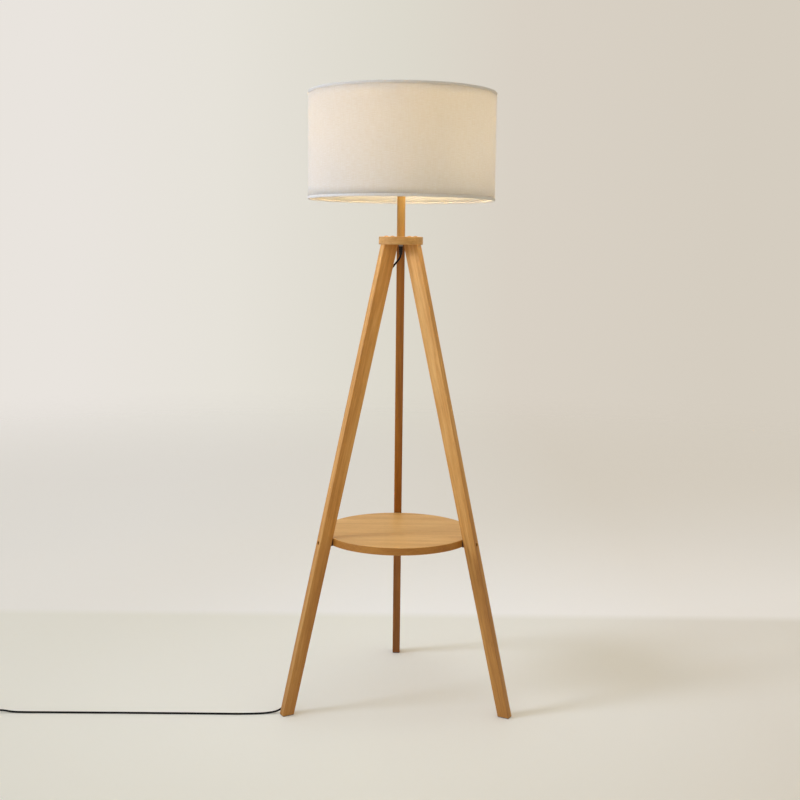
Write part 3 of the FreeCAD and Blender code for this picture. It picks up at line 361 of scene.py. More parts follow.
# White PBT of the bulb's body: an even satin.
white_pbt = fine_skin("white_pbt", "#ECE9E1", 0.4, 0.4, 0.03, IOR=1.55)
# Black glass around the bulb's tip: almost a mirror.
glass_black = fine_skin("black_cap_glass", "#0E0E10", 0.12, 0.8, 0.01, IOR=1.5)
# Solder mask of the light board: white and slick, to throw the light forward.
board_white = fine_skin("white_solder_mask", "#E6E6DF", 0.35, 0.3, 0.01, IOR=1.5)
# Powder coat on the shade's wires: white, with a soft peel.
white_wire = fine_skin("white_powder_coat", "#E7E3DA", 0.5, 0.5, 0.05, IOR=1.5)
# Spring steel: drawn hard, grey and bright.
spring_steel = fine_skin("spring_steel", "#9A9C9E", 0.25, 0.2, 0.01, metallic=1.0)
dress(felt, "foot_pads")
dress(zinc, "hub_screws", "hub_washer", "hub_nut", "pole_nut", "threaded_tube")
dress(zinc, "clip_nails", "terminal_screws", "switch_screws")
dress(black_steel, "shelf_screws")
dress(rubber, "switch_feet")
dress(nylon, "cord_clips")
dress(pvc, "inner_cord")
dress(insulation, "holder_wires")
dress(phenolic, "holder_cap", "holder_body")
dress(steatite, "holder_insert")
dress(brass, "socket_shell", "centre_contact", "bulb_tip_contact", "switch_contacts")
dress(glass_black, "bulb_insulator")
dress(white_pbt, "bulb_body")
dress(board_white, "bulb_board")
dress(white_wire, "shade_bottom_ring", "shade_top_ring", "shade_spider")
dress(abs_black, "switch_base", "switch_cover")
dress(spring_steel, "switch_spring")
dress(nickel, "plug_pins")
print("plain finishes on engineered pieces:", sum(len(o.data.materials) > 0 for o in nodes.values()))

# %% [markdown]
# Round pieces are made as a turner makes them: half of the outline is drawn, then spun about its
# axis. The spin is closed, points on the axis are merged, and faces are turned outwards.


# %% Turning a piece
def mesh_piece(form, name, materials, sharp=35):
    """Makes a piece from a bmesh, smooth except across sharp edges."""
    mesh = bpy.data.meshes.new(name)
    form.to_mesh(mesh)
    form.free()
    mesh.shade_smooth()
    mesh.set_sharp_from_angle(angle=math.radians(sharp))
    piece = bpy.data.objects.new(name, mesh)
    bpy.context.scene.collection.objects.link(piece)
    for material in materials:
        mesh.materials.append(material)
    return piece


def turned(outline, middle=(0, 0, 0), axis="Z", segments=96, rounding=0.0):
    """A bmesh spun from an outline of (radius, height) points in millimetres."""
    form = bmesh.new()
    points = [form.verts.new((r * MM, 0, h * MM)) for r, h in outline]
    for start, end in zip(points, points[1:] + points[:1]):
        if start.co.x > 0 or end.co.x > 0:
            form.edges.new((start, end))
    bmesh.ops.spin(
        form,
        geom=form.verts[:] + form.edges[:],
        cent=(0, 0, 0),
        axis=(0, 0, 1),
        angle=math.tau,
        steps=segments,
        use_merge=True,
    )
    bmesh.ops.remove_doubles(form, verts=form.verts, dist=0.001 * MM)
    bmesh.ops.recalc_face_normals(form, faces=form.faces)
    if rounding:
        sharp = [e for e in form.edges if e.is_manifold and e.calc_face_angle() > math.radians(50)]
        bmesh.ops.bevel(
            form, geom=sharp, offset=rounding * MM, affect="EDGES", segments=2, profile=0.5, material=-1
        )
    if axis != "Z":
        way = Vector((1, 0, 0)) if axis == "X" else Vector((-1, 0, 0))
        turn = Vector((0, 0, 1)).rotation_difference(way).to_matrix()
        bmesh.ops.rotate(form, verts=form.verts, cent=(0, 0, 0), matrix=turn)
    bmesh.ops.translate(form, verts=form.verts, vec=Vector(middle) * MM)
    return form


def settle(piece, body, slot, *stands_for):
    """The piece rides on its body and stands for engineered pieces. Its slot is not used."""
    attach(piece, body)
    if stands_for:
        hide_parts(*stands_for)
    print(piece.name, "rides on", body)
    return piece


def grooved(root, tip, base, length, count, depth):
    """An outline of a tapered sleeve with grooves around it, as on a strain relief."""
    outline = [(0, base), (root, base)]
    for number in range(count):
        start = base + length * (0.18 + 0.72 * number / count)
        step = length * 0.72 / count
        radius = root + (tip - root) * (start - base) / length
        outline += [
            (radius, start),
            (radius - depth, start + step * 0.25),
            (radius - depth, start + step * 0.5),
            (radius - (root - tip) * 0.02, start + step * 0.75),
        ]
    return outline + [(tip, base + length), (0, base + length)]


# %% [markdown]
# The lead is a round black PVC cable, 4.6 mm thick. It leaves a grip under the hub, lies down the
# back of the front left leg under saddle clips, and runs along the floor to a foot switch. It is
# one smooth curve through a few chosen points, as a cable lies, with its weight on the floor.

# %% The lead from the grip to the foot switch
CABLE = 4.6
GRIP_EXIT = (0, 0, 1105)


def cable(name, route, body="lamp"):
    """A smooth NURBS cable along a route of points in millimetres."""
    data = bpy.data.curves.new(name, "CURVE")
    data.dimensions = "3D"
    spline = data.splines.new("NURBS")
    spline.points.add(len(route) - 1)
    for point, (x, y, z) in zip(spline.points, route):
        point.co = (x * MM, y * MM, z * MM, 1)
    spline.order_u = 3
    spline.use_endpoint_u = True
    spline.resolution_u = 8
    data.bevel_depth = CABLE / 2 * MM
    data.bevel_resolution = 5
    data.materials.append(pvc)
    piece = bpy.data.objects.new(name, data)
    bpy.context.scene.collection.objects.link(piece)
    print(name, "length in mm:", round(spline.calc_length() / MM))
    return piece


LEAD_ROUTE = [
    GRIP_EXIT,
    (-0.8, 0.1, 1098),
    (-9.5, 1.0, 1087.5),
    (-27.0, 1.8, 1065),
    (-54.2, -16.8, 1032),
    (-63.4, -22.1, 988),
    (-254.0, -132.2, 75),
    (-260.0, -135.7, 46),
    (-268.0, -139.4, 19),
    (-283.0, -143.4, 6.4),
    (-306, -147.6, 2.3),
    (-338, -153.2, 2.3),
    (-380, -155.6, 2.3),
    (-422, -155.7, 2.3),
    (-640, -156.0, 2.3),
    (-856, -158.3, 2.3),
    (-890, -158.6, 2.3),
    (-924, -158.2, 2.5),
    (-946, -157.0, 6.2),
    (-965, -157.0, 6.2),
]
lead = cable("lead", LEAD_ROUTE)
settle(lead, "lamp", "black_pvc", "cord_lead")

# %% [markdown]
# The rest of the lead is put away beside the switch: five and a half turns in two layers, held
# by a strap. The turns are points of the cable's own curve. Three rings lie on the floor from the
# outside in, the innermost climbs, and two more rings lie on top from the inside out.

# %% The rest of the lead, coiled
TAIL_EXIT = (-1075, -157.0, 6.2)
COIL_MIDDLE = (-1150, -126)
TURNS = 5.5
# Turns made, ring radius, height.
WINDING = [
    (0.0, 32.2, 3.3),
    (0.7, 32.2, 3.3),
    (1.0, 27.3, 3.3),
    (1.7, 27.3, 3.3),
    (2.0, 22.4, 3.3),
    (2.45, 22.4, 3.3),
    (2.75, 22.4, 8.1),
    (3.45, 22.4, 8.1),
    (3.75, 27.3, 8.1),
    (4.45, 27.3, 8.1),
    (4.75, 32.2, 8.1),
    (TURNS, 32.2, 8.1),
]
POINTS_PER_TURN = 16


def winding(turn):
    """Ring radius and height after so many turns."""
    for (t0, r0, z0), (t1, r1, z1) in zip(WINDING, WINDING[1:]):
        if turn <= t1:
            share = (turn - t0) / (t1 - t0)
            return r0 + (r1 - r0) * share, z0 + (z1 - z0) * share
    return WINDING[-1][1:]


coil = []
for number in range(int(TURNS * POINTS_PER_TURN) + 1):
    turn = number / POINTS_PER_TURN
    radius, height = winding(turn)
    reach = radius / math.cos(math.pi / POINTS_PER_TURN)
    angle = math.radians(-90) - math.tau * turn
    x = COIL_MIDDLE[0] + reach * math.cos(angle)
    y = COIL_MIDDLE[1] + reach * math.sin(angle)
    coil.append((x, y, height))
TAIL_ROUTE = [TAIL_EXIT, (-1092, -157.0, 6.2), (-1114, -158.6, 3.9), (-1139, -158.0, 3.4)]
TAIL_ROUTE += coil
TAIL_ROUTE += [(-1141, -94.6, 8.0), (-1124, -92.5, 6.8), (-1108, -92.5, 6.8)]
tail = cable("tail_lead", TAIL_ROUTE)
settle(tail, "lamp", "black_pvc", "cord_to_coil", "cord_coil", "cord_to_plug")

# %% [markdown]
# The camera stands in front at chest height and looks slightly down, with a lens a little longer
# than normal, so the legs keep their true taper. It is set here, before the looks, because how
# far the cables may spread depends on what it sees.

# %% Camera
EYE = Vector((-0.00456, -2.85012, 1.12013))
PITCH, YAW, ROLL = (math.radians(a) for a in (7.4037, 0.1367, 0.6488))
ahead = Vector((math.sin(YAW) * math.cos(PITCH), math.cos(YAW) * math.cos(PITCH), -math.sin(PITCH)))
level = Vector((math.cos(YAW), -math.sin(YAW), 0))
upward = level.cross(ahead)
right = level * math.cos(ROLL) + upward * math.sin(ROLL)
above = upward * math.cos(ROLL) - level * math.sin(ROLL)
lens = bpy.data.cameras.new("camera")
lens.sensor_width = 36
lens.lens = 52.503
camera = bpy.data.objects.new("camera", lens)
bpy.context.scene.collection.objects.link(camera)
stand = Matrix((right, above, -ahead)).transposed().to_4x4()
stand.translation = EYE
camera.matrix_world = stand
bpy.context.scene.camera = camera
print("camera height in metres:", round(camera.location.z, 3))

# %% [markdown]
# The cord grip is a short black sleeve that is screwed into the threaded tube and pinches the
# lead, so that a tug never reaches the terminals. Grooves around it let it bend a little.

# %% Cord grip under the hub
grip_outline = [
    (2.35, 1105),
    (3.5, 1105),
    (3.9, 1106.5),
    (4.2, 1108.5),
    (3.8, 1109),
    (3.8, 1110),
    (4.45, 1110.6),
    (4.75, 1112.5),
    (4.75, 1114.5),
    (4.25, 1115),
    (4.25, 1116),
    (4.75, 1116.5),
    (4.75, 1119),
    (4.25, 1119.5),
    (4.25, 1120.5),
    (4.75, 1121),
    (4.75, 1125),
    (3.55, 1125),
    (3.55, 1131),
    (2.35, 1131),
]
grip = mesh_piece(turned(grip_outline, rounding=0.12), "lead_grip", [rubber])
settle(grip, "lamp", "black_rubber", "cord_grip")

# %% [markdown]
# Each end of the foot switch has a tapered sleeve over the lead, moulded with rings so that it
# bends with the lead and not at one point. It is thickest where it leaves the housing.

# %% Strain reliefs of the foot switch
SWITCH_MIDDLE, SWITCH_LINE, SWITCH_LEAD_HEIGHT = -1020, -157, 6.2
SWITCH_HALF = 34.7
for name, axis, side in (("relief_near", "X", 1), ("relief_far", "-X", -1)):
    outline = grooved(root=3.9, tip=2.95, base=0, length=20, count=5, depth=0.55)
    start = (SWITCH_MIDDLE + side * SWITCH_HALF, SWITCH_LINE, SWITCH_LEAD_HEIGHT)
    form = turned(outline, start, axis, 48, rounding=0.1)
    piece = mesh_piece(form, name, [abs_black])
    settle(piece, "lamp", "switch_plastic")
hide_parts("switch_reliefs")

# %% [markdown]
# The foot switch's key is a round cap, dished so that a toe finds it, with two shallow rings
# against slipping. It slides into the housing, so it is a piece of its own on the sliding body.
# A raised collar around it is part of the housing.

# %% Key and collar of the foot switch
low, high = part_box("switch_button")
key_base, key_top = low.z / MM, high.z / MM
key_outline = [
    (0, key_base),
    (1.8, key_base),
    (1.8, 15.3),
    (12.6, 15.3),
    (12.6, 17.3),
    (11.0, 17.3),
    (11.0, key_top - 2.2),
    (10.6, key_top - 0.9),
    (9.6, key_top - 0.15),
    (8.9, key_top),
    (8.3, key_top - 0.1),
    (8.0, key_top - 0.6),
    (7.5, key_top - 0.6),
    (7.2, key_top - 0.2),
    (5.9, key_top - 0.4),
    (5.6, key_top - 0.9),
    (5.1, key_top - 0.9),
    (4.8, key_top - 0.5),
    (2.4, key_top - 0.85),
    (0, key_top - 0.95),
]
SWITCH = (SWITCH_MIDDLE, SWITCH_LINE, 0)
key = mesh_piece(turned(key_outline, SWITCH, rounding=0.15), "key_cap", [abs_black])
settle(key, "switch_key", "switch_plastic", "switch_button")
collar_outline = [(11.4, 19.0), (14.4, 19.0), (14.2, 19.7), (13.6, 20.2), (12.3, 20.2), (11.6, 19.8)]
collar = mesh_piece(turned(collar_outline, SWITCH), "key_collar", [abs_black])
settle(collar, "lamp", "switch_plastic")
print("key from", round(key_base, 1), "to", round(key_top, 1), "mm")

# %% [markdown]
# The plug is a flat two pin one: a body with a waist for the fingers, a ribbed tail that the lead
# leaves by, and two pins with sleeves. The body starts as a block, is cut across at stations
# along its length, and each station is drawn in or out before the edges are rounded.

# %% Plug
PLUG_BACK, PLUG_FRONT, PLUG_LINE, PLUG_WIDTH, PLUG_HIGH = -1086.0, -1052.0, -92.5, 26.0, 13.6
# How much of its full width the plug has at each share of its length.
STATIONS = {0.0: 0.72, 0.12: 0.84, 0.28: 0.86, 0.42: 0.80, 0.56: 0.86, 0.7: 0.97, 0.82: 1.0, 1.0: 1.0}
form = bmesh.new()
bmesh.ops.create_cube(form, size=1.0)
size = Vector((PLUG_FRONT - PLUG_BACK, PLUG_WIDTH, PLUG_HIGH - 0.3)) * MM
bmesh.ops.scale(form, verts=form.verts, vec=size)
for share in list(STATIONS)[1:-1]:
    at = Vector(((share - 0.5) * size.x, 0, 0))
    bmesh.ops.bisect_plane(
        form, geom=form.verts[:] + form.edges[:] + form.faces[:], plane_co=at, plane_no=(1, 0, 0)
    )
for vert in form.verts:
    share = round(vert.co.x / size.x + 0.5, 2)
    nearest = min(STATIONS, key=lambda s: abs(s - share))
    vert.co.y *= STATIONS[nearest]
    vert.co.z *= 1.0 - 0.12 * (1.0 - STATIONS[nearest]) / 0.28
long_edges = [e for e in form.edges if abs(e.verts[0].co.x - e.verts[1].co.x) > 1e-5]
bmesh.ops.bevel(
    form, geom=long_edges, offset=3.2 * MM, affect="EDGES", segments=4, profile=0.5, material=-1
)
ends = [e for e in form.edges if e.calc_face_angle(0) > math.radians(60)]
bmesh.ops.bevel(form, geom=ends, offset=1.2 * MM, affect="EDGES", segments=3, profile=0.5, material=-1)
bmesh.ops.translate(
    form,
    verts=form.verts,
    vec=Vector(((PLUG_BACK + PLUG_FRONT) / 2, PLUG_LINE, PLUG_HIGH / 2)) * MM,
)
plug = mesh_piece(form, "plug_moulding", [abs_black], sharp=40)
settle(plug, "lamp", "plug_plastic", "plug_body")
outline = grooved(root=4.3, tip=2.95, base=0, length=24, count=6, depth=0.55)
form = turned(outline, (PLUG_BACK + 2, PLUG_LINE, PLUG_HIGH / 2), "-X", 48, rounding=0.1)
plug_tail = settle(mesh_piece(form, "plug_tail", [abs_black]), "lamp", "plug_plastic")

# %% [markdown]
# A hook and loop strap holds the coil: a band with rounded corners, a millimetre thick, that goes
# through the ring and around its turns, with its free end lapped over on top.

# %% Strap around the coil
STRAP_WIDTH, STRAP_THICKNESS = 10.0, 0.8
LAP_MIDDLE, LAP_HEIGHT, LAP_SIZE = -1176.5, 11.8, (9.0, 9.6, 0.8)


def strap(low, high):
    """A closed band through the ring, from one (x, z) corner to the other."""
    form = bmesh.new()
    bmesh.ops.create_cube(form, size=1.0)
    size = Vector((high[0] - low[0], STRAP_WIDTH, high[1] - low[1])) * MM
    bmesh.ops.scale(form, verts=form.verts, vec=size)
    walls = [f for f in form.faces if abs(f.normal.y) > 0.5]
    bmesh.ops.delete(form, geom=walls, context="FACES_ONLY")
    corners = [e for e in form.edges if abs(e.verts[0].co.y - e.verts[1].co.y) > 1e-4]
    bmesh.ops.bevel(
        form, geom=corners, offset=2.2 * MM, affect="EDGES", segments=5, profile=0.5, material=-1
    )
    centre = Vector(((low[0] + high[0]) / 2, COIL_MIDDLE[1], (low[1] + high[1]) / 2)) * MM
    bmesh.ops.translate(form, verts=form.verts, vec=centre)
    bmesh.ops.recalc_face_normals(form, faces=form.faces)
    bmesh.ops.solidify(form, geom=form.faces[:], thickness=STRAP_THICKNESS * MM)
    bmesh.ops.recalc_face_normals(form, faces=form.faces)
    return form


form = strap((-1185.4, 0.25), (-1168.0, 11.5))
lap = bmesh.new()
bmesh.ops.create_cube(lap, size=1.0)
bmesh.ops.scale(lap, verts=lap.verts, vec=Vector(LAP_SIZE) * MM)
bmesh.ops.translate(lap, verts=lap.verts, vec=Vector((LAP_MIDDLE, COIL_MIDDLE[1], LAP_HEIGHT)) * MM)
bmesh.ops.bevel(
    lap, geom=lap.edges[:], offset=0.3 * MM, affect="EDGES", segments=2, profile=0.5, material=-1
)
# Hook and loop tape: matt nylon with a nap, so sheen softens it.
tape_nap = fine_skin(
    "hook_and_loop_nylon", "#1B1B1C", 0.9, 0.5, 0.25, Sheen_Weight=0.5, Sheen_Roughness=0.4
)
coil_band = settle(mesh_piece(form, "coil_strap", [tape_nap]), "lamp", "black_pvc", "coil_tie")
coil_lap = settle(mesh_piece(lap, "coil_strap_end", [tape_nap]), "lamp", "black_pvc")

# %% [markdown]
# The first cable leaves the grip under the hub and ends in the switch. The second leaves the
# switch and ends in the plug.

# %% [markdown]
# The shade's clamp ring is a moulded nut with ribs around it for the fingers. One rib is drawn as
# a sector and copied around by a spin that keeps its copies.

# %% Ribbed clamp ring
RIBS, CLAMP_BASE, CLAMP_HEIGHT = 36, 1289.5, 8
RIB_TURN = math.tau / RIBS
# Radius, and share of one rib's turn.
RIB = [(19.9, 0.0), (24.2, 0.0), (25.0, 0.3), (25.0, 0.6), (24.2, 0.9), (24.2, 1.0), (19.9, 1.0)]


def on_seam(face):
    """Whether a face stands on the line between two ribs, where the next copy joins on."""
    turn = abs(face.calc_center_median().to_2d().angle_signed(Vector((1, 0)))) % RIB_TURN
    return abs(face.normal.z) < 0.5 and min(turn, RIB_TURN - turn) < 1e-3


form = bmesh.new()
sector = [
    form.verts.new((r * math.cos(RIB_TURN * s) * MM, r * math.sin(RIB_TURN * s) * MM, CLAMP_BASE * MM))
    for r, s in RIB
]
raised = bmesh.ops.extrude_face_region(form, geom=[form.faces.new(sector)])
upper = [v for v in raised["geom"] if isinstance(v, bmesh.types.BMVert)]
bmesh.ops.translate(form, verts=upper, vec=(0, 0, CLAMP_HEIGHT * MM))
bmesh.ops.delete(form, geom=[f for f in form.faces if on_seam(f)], context="FACES")
bmesh.ops.spin(
    form,
    geom=form.verts[:] + form.edges[:] + form.faces[:],
    cent=(0, 0, 0),
    axis=(0, 0, 1),
    angle=math.tau * (RIBS - 1) / RIBS,
    steps=RIBS - 1,
    use_duplicate=True,
)
bmesh.ops.remove_doubles(form, verts=form.verts, dist=0.005 * MM)
bmesh.ops.recalc_face_normals(form, faces=form.faces)
print("clamp ring open edges:", sum(not e.is_manifold for e in form.edges))
clamp = mesh_piece(form, "clamp_ring", [phenolic], sharp=25)
settle(clamp, "lamp", "holder_plastic", "shade_clamp_ring")

# %% [markdown]
# The bulb's cap is thin nickel plated brass, rolled into a round thread. Seen from the side it is
# a wave, one crest every 3.6 mm, and the wall is as thin as foil.

# %% Screw shell of the bulb
CREST_PITCH, CREST_DEPTH, FIRST_CREST = 3.62, 0.45, 1311.0
SHELL_BASE, SHELL_HEIGHT, SHELL_OUTSIDE, SHELL_INSIDE = 1309.9, 17.8, 12.62, 12.24
SHELL_STEPS, PLAIN_STEPS = 24, 3
outside, inside = [], []
for number in range(SHELL_STEPS + 1):
    height = SHELL_BASE + SHELL_HEIGHT * number / SHELL_STEPS
    wave = CREST_DEPTH * math.cos(math.tau * (height - FIRST_CREST) / CREST_PITCH)
    fade = min(1.0, number / PLAIN_STEPS, (SHELL_STEPS - number) / PLAIN_STEPS)
    outside.append((SHELL_OUTSIDE + wave * fade, height))
    inside.append((SHELL_INSIDE + wave * fade, height))
form = turned(outside + inside[::-1], segments=96)
screw_shell = mesh_piece(form, "bulb_thread", [nickel], sharp=60)
settle(screw_shell, "bulb", "nickel_shell", "bulb_screw_shell")

# %% [markdown]
# The bulb is on: an opal globe over a warm board. The globe is the light that fills the shade, so
# its finish gives off a warm light of its own over a slightly glossy skin.


# %% Opal globe
def opal(name, glow, strength):
    """Milky polycarbonate that glows."""
    material, tree = material_tree(name)
    place = add(tree, "ShaderNodeTexCoord").outputs["Object"]
    milk = add(tree, "ShaderNodeTexNoise", {"Vector": place, "Scale": per_metre(6), "Detail": 2.0})
    tone = add(
        tree, "ShaderNodeValToRGB", {"Fac": milk.outputs[0]}, stops=[(0.3, "#F1ECE2"), (0.7, "#FAF6EE")]
    )
    shader = add(
        tree,
        "ShaderNodeBsdfPrincipled",
        {
            "Base Color": tone.outputs[0],
            "Roughness": 0.3,
            "IOR": 1.49,
            "Emission Color": linear(glow),
            "Emission Strength": strength,
        },
    )
    output(tree, shader)
    return material


GLOBE_LIGHT = 178.0
dress(opal("opal_polycarbonate", "#FFDA99", GLOBE_LIGHT), "bulb_globe")

# %% [markdown]
# The drum is natural linen glued to a white PVC film. Linen is plain woven from uneven yarn: most
# threads are about 0.6 mm apart, and here and there one swells into a slub some millimetres long.
# The pattern follows the cloth's own map, in metres around and up. The film inside is smooth. Both
# let light through, so part of each finish is a translucent shader.


# %% Linen and film
def linen(name, light, shade, through, share, across_pitch=1.1):
    """Plain woven linen, lit from both sides. The threads are drawn coarser than the real 0.6 mm."""
    material, tree = material_tree(name)
    cloth = add(tree, "ShaderNodeUVMap", uv_map="cloth").outputs[0]
    weft = add(tree, "ShaderNodeMapping", {"Vector": cloth, "Scale": (1 / 14, 1.0, 1.0)}).outputs[0]
    warp = add(tree, "ShaderNodeMapping", {"Vector": cloth, "Scale": (1.0, 1 / 14, 1.0)}).outputs[0]
    across = add(
        tree,
        "ShaderNodeTexNoise",
        {"Vector": weft, "Scale": per_metre(across_pitch), "Detail": 3.0, "Roughness": 0.65},
        noise_dimensions="2D",
    )
    upright = add(
        tree,
        "ShaderNodeTexNoise",
        {"Vector": warp, "Scale": per_metre(2.2), "Detail": 3.0, "Roughness": 0.6},
        noise_dimensions="2D",
    )
    slubs = add(
        tree,
        "ShaderNodeTexNoise",
        {"Vector": weft, "Scale": per_metre(3.4), "Detail": 1.0, "Roughness": 0.4},
        noise_dimensions="2D",
    )
    thick = add(tree, "ShaderNodeValToRGB", {"Fac": slubs.outputs[0]}, stops=[(0.62, 0.0), (0.74, 1.0)])
    threads = add(
        tree,
        "ShaderNodeMath",
        {0: upright.outputs[0], 1: 0.45, 2: across.outputs[0]},
        operation="MULTIPLY_ADD",
    )
    spread = add(
        tree,
        "ShaderNodeMapRange",
        {"Value": threads.outputs[0], "From Min": 0.45, "From Max": 1.0},
    )
    weave = add(
        tree,
        "ShaderNodeMix",
        {0: spread.outputs[0], 6: linear(shade), 7: linear(light)},
        data_type="RGBA",
    )
    darker = add(tree, "ShaderNodeMath", {0: thick.outputs[0], 1: 0.35}, operation="MULTIPLY")
    tone = add(
        tree,
        "ShaderNodeMix",
        {0: darker.outputs[0], 6: weave.outputs[2], 7: linear(shade)},
        data_type="RGBA",
    )
    height = add(
        tree,
        "ShaderNodeMath",
        {0: thick.outputs[0], 1: 0.5, 2: threads.outputs[0]},
        operation="MULTIPLY_ADD",
    )
    relief = add(
        tree, "ShaderNodeBump", {"Height": height.outputs[0], "Strength": 0.2, "Distance": 0.25 * MM}
    )
    front = add(
        tree,
        "ShaderNodeBsdfPrincipled",
        {
            "Base Color": tone.outputs[2],
            "Roughness": 0.92,
            "Normal": relief.outputs[0],
            "Sheen Weight": 0.15,
            "Sheen Roughness": 0.5,
            "Specular IOR Level": 0.2,
        },
    )
    gaps = add(
        tree,
        "ShaderNodeMix",
        {0: spread.outputs[0], 6: linear(through), 7: linear("#FFFFFF")},
        data_type="RGBA",
    )
    back = add(tree, "ShaderNodeBsdfTranslucent", {"Color": gaps.outputs[2]})
    both = add(
        tree, "ShaderNodeMixShader", {"Fac": share, 1: front.outputs[0], 2: back.outputs[0]}
    )
    output(tree, both)
    return material


def film(name, colour, share):
    """White PVC film: smooth, with a faint drift in tone, and lit from both sides."""
    material, tree = material_tree(name)
    place = add(tree, "ShaderNodeTexCoord").outputs["Object"]
    cloud = add(tree, "ShaderNodeTexNoise", {"Vector": place, "Scale": per_metre(40), "Detail": 2.0})
    tone = add(
        tree,
        "ShaderNodeValToRGB",
        {"Fac": cloud.outputs[0]},
        stops=[(0.3, colour), (0.7, "#F8F6F0")],
    )
    front = add(
        tree,
        "ShaderNodeBsdfPrincipled",
        {"Base Color": tone.outputs[0], "Roughness": 0.45, "IOR": 1.53},
    )
    back = add(tree, "ShaderNodeBsdfTranslucent", {"Color": tone.outputs[0]})
    both = add(
        tree, "ShaderNodeMixShader", {"Fac": share, 1: front.outputs[0], 2: back.outputs[0]}
    )
    output(tree, both)
    return material


drum_linen = linen("natural_linen", "#D1CEC9", "#C8C4BC", "#F6EAD8", 0.26)
drum_film = film("white_pvc_film", "#F2EEE4", 0.42)

# %% [markdown]
# The drum is one strip, wound a little more than once round, and its ends are lapped and glued at
# the back, 12 mm wide. It starts as an upright line of points that is spun, and the last
# stretch stands proud as the lap does. Thickness comes last, with the film as its inner skin.

# %% Shade drum
DRUM_RADIUS, DRUM_BASE, DRUM_TOP, LAP = 224.3, 1235.6, 1486.4, 12.0
# The lap stands proud by about the cloth's thickness, after a short slope of 0.02 radians.
PROUD, SLOPE = 0.55, 0.02
DRUM_STEPS, DRUM_ROWS = 240, 10
lap_angle = LAP / DRUM_RADIUS
form = bmesh.new()
seam = math.radians(90)
rows = [
    form.verts.new((
        DRUM_RADIUS * MM * math.cos(seam),
        DRUM_RADIUS * MM * math.sin(seam),
        (DRUM_BASE + (DRUM_TOP - DRUM_BASE) * row / DRUM_ROWS) * MM,
    ))
    for row in range(DRUM_ROWS + 1)
]
for start, end in zip(rows, rows[1:]):
    form.edges.new((start, end))
bmesh.ops.spin(
    form,
    geom=form.verts[:] + form.edges[:],
    cent=(0, 0, 0),
    axis=(0, 0, 1),
    angle=math.tau + lap_angle,
    steps=DRUM_STEPS,
    use_merge=False,
)
form.faces.ensure_lookup_table()
cloth = form.loops.layers.uv.new("cloth")
step = (math.tau + lap_angle) / DRUM_STEPS
for face in form.faces:
    turn = face.index // DRUM_ROWS * step
    for loop in face.loops:
        around = math.atan2(loop.vert.co.y, loop.vert.co.x) - seam
        around += math.tau * round((turn + step / 2 - around) / math.tau)
        loop[cloth].uv = (around * DRUM_RADIUS * MM, loop.vert.co.z - DRUM_BASE * MM)
print("drum points:", len(form.verts))
for face in form.faces:
    for loop in face.loops:
        turns = loop[cloth].uv.x / (DRUM_RADIUS * MM)
        share = min(1.0, max(0.0, (turns - math.tau + SLOPE) / SLOPE))
        loop.vert.co.xy = loop.vert.co.xy.normalized() * (DRUM_RADIUS + PROUD * share) * MM
bmesh.ops.recalc_face_normals(form, faces=form.faces)
if form.faces[0].normal.dot(form.faces[0].calc_center_median()) < 0:
    bmesh.ops.reverse_faces(form, faces=form.faces)
drum = mesh_piece(form, "linen_drum", [drum_linen, drum_film], sharp=60)
wall = drum.modifiers.new("wall", "SOLIDIFY")
wall.thickness = 0.5 * MM
wall.offset = -1
wall.material_offset = 1
wall.material_offset_rim = 1
settle(drum, "lamp", "linen", "shade_panel")

# %% [markdown]
# A white cotton tape is folded over each edge of the drum and over its wire. It is a soft fold,
# rounded at the rim, and thin, with a fine rib across. A little light comes through it too.


# %% Edge tapes
SHADE_BASE, SHADE_TOP, SHADE_RADIUS = 1235.0, 1487.0, 225.0


def tape(name, edge, inward):
    """A folded tape: an open J shape around the wire, from outside over the rim to inside."""
    outline = [(225.25, edge + inward * 6.2)]
    outline += [(225.35, edge + inward * 4.0), (225.35, edge + inward * 1.6)]
    for number in range(7):
        angle = math.radians(90 * number / 6)
        outline.append((224.0 + 1.35 * math.cos(angle), edge + inward * (1.4 - 1.4 * math.sin(angle))))
    outline += [(221.5, edge - inward * 0.05), (220.2, edge + inward * 0.35)]
    outline += [(219.3, edge + inward * 1.6), (219.0, edge + inward * 3.0)]
    skin = [(224.75, edge + inward * 6.2), (224.8, edge + inward * 1.6), (223.8, edge + inward * 0.6)]
    skin += [(221.5, edge + inward * 0.5), (219.9, edge + inward * 1.7), (219.5, edge + inward * 3.0)]
    form = turned(outline + skin[::-1], segments=192)
    layer = form.loops.layers.uv.new("cloth")
    for face in form.faces:
        middle = face.calc_center_median()
        base = math.atan2(middle.y, middle.x)
        for loop in face.loops:
            around = math.atan2(loop.vert.co.y, loop.vert.co.x)
            around += math.tau * round((base - around) / math.tau)
            reach = loop.vert.co.xy.length
            loop[layer].uv = (around * SHADE_RADIUS * MM, loop.vert.co.z + reach)
    return mesh_piece(form, name, [tape_cotton], sharp=50)


tape_cotton = linen("white_cotton_tape", "#F5F2EC", "#EBE6DE", "#FBF0E0", 0.35, across_pitch=0.9)
low_tape = settle(tape("bottom_tape", SHADE_BASE, 1), "lamp", "shade_tape", "shade_bottom_trim")
high_tape = settle(tape("top_tape", SHADE_TOP, -1), "lamp", "shade_tape", "shade_top_trim")

# %% [markdown]
# The linen is a sheet: it was cut as a flat strip as long as the drum's way round plus the lap,
# and stretched over the film.

# %% [markdown]
# The lamp stands on a pale floor in a soft studio. The floor is a touch darker near the lamp, and
# past a straight line behind it turns as pale as the wall would be. Far out it fades away.


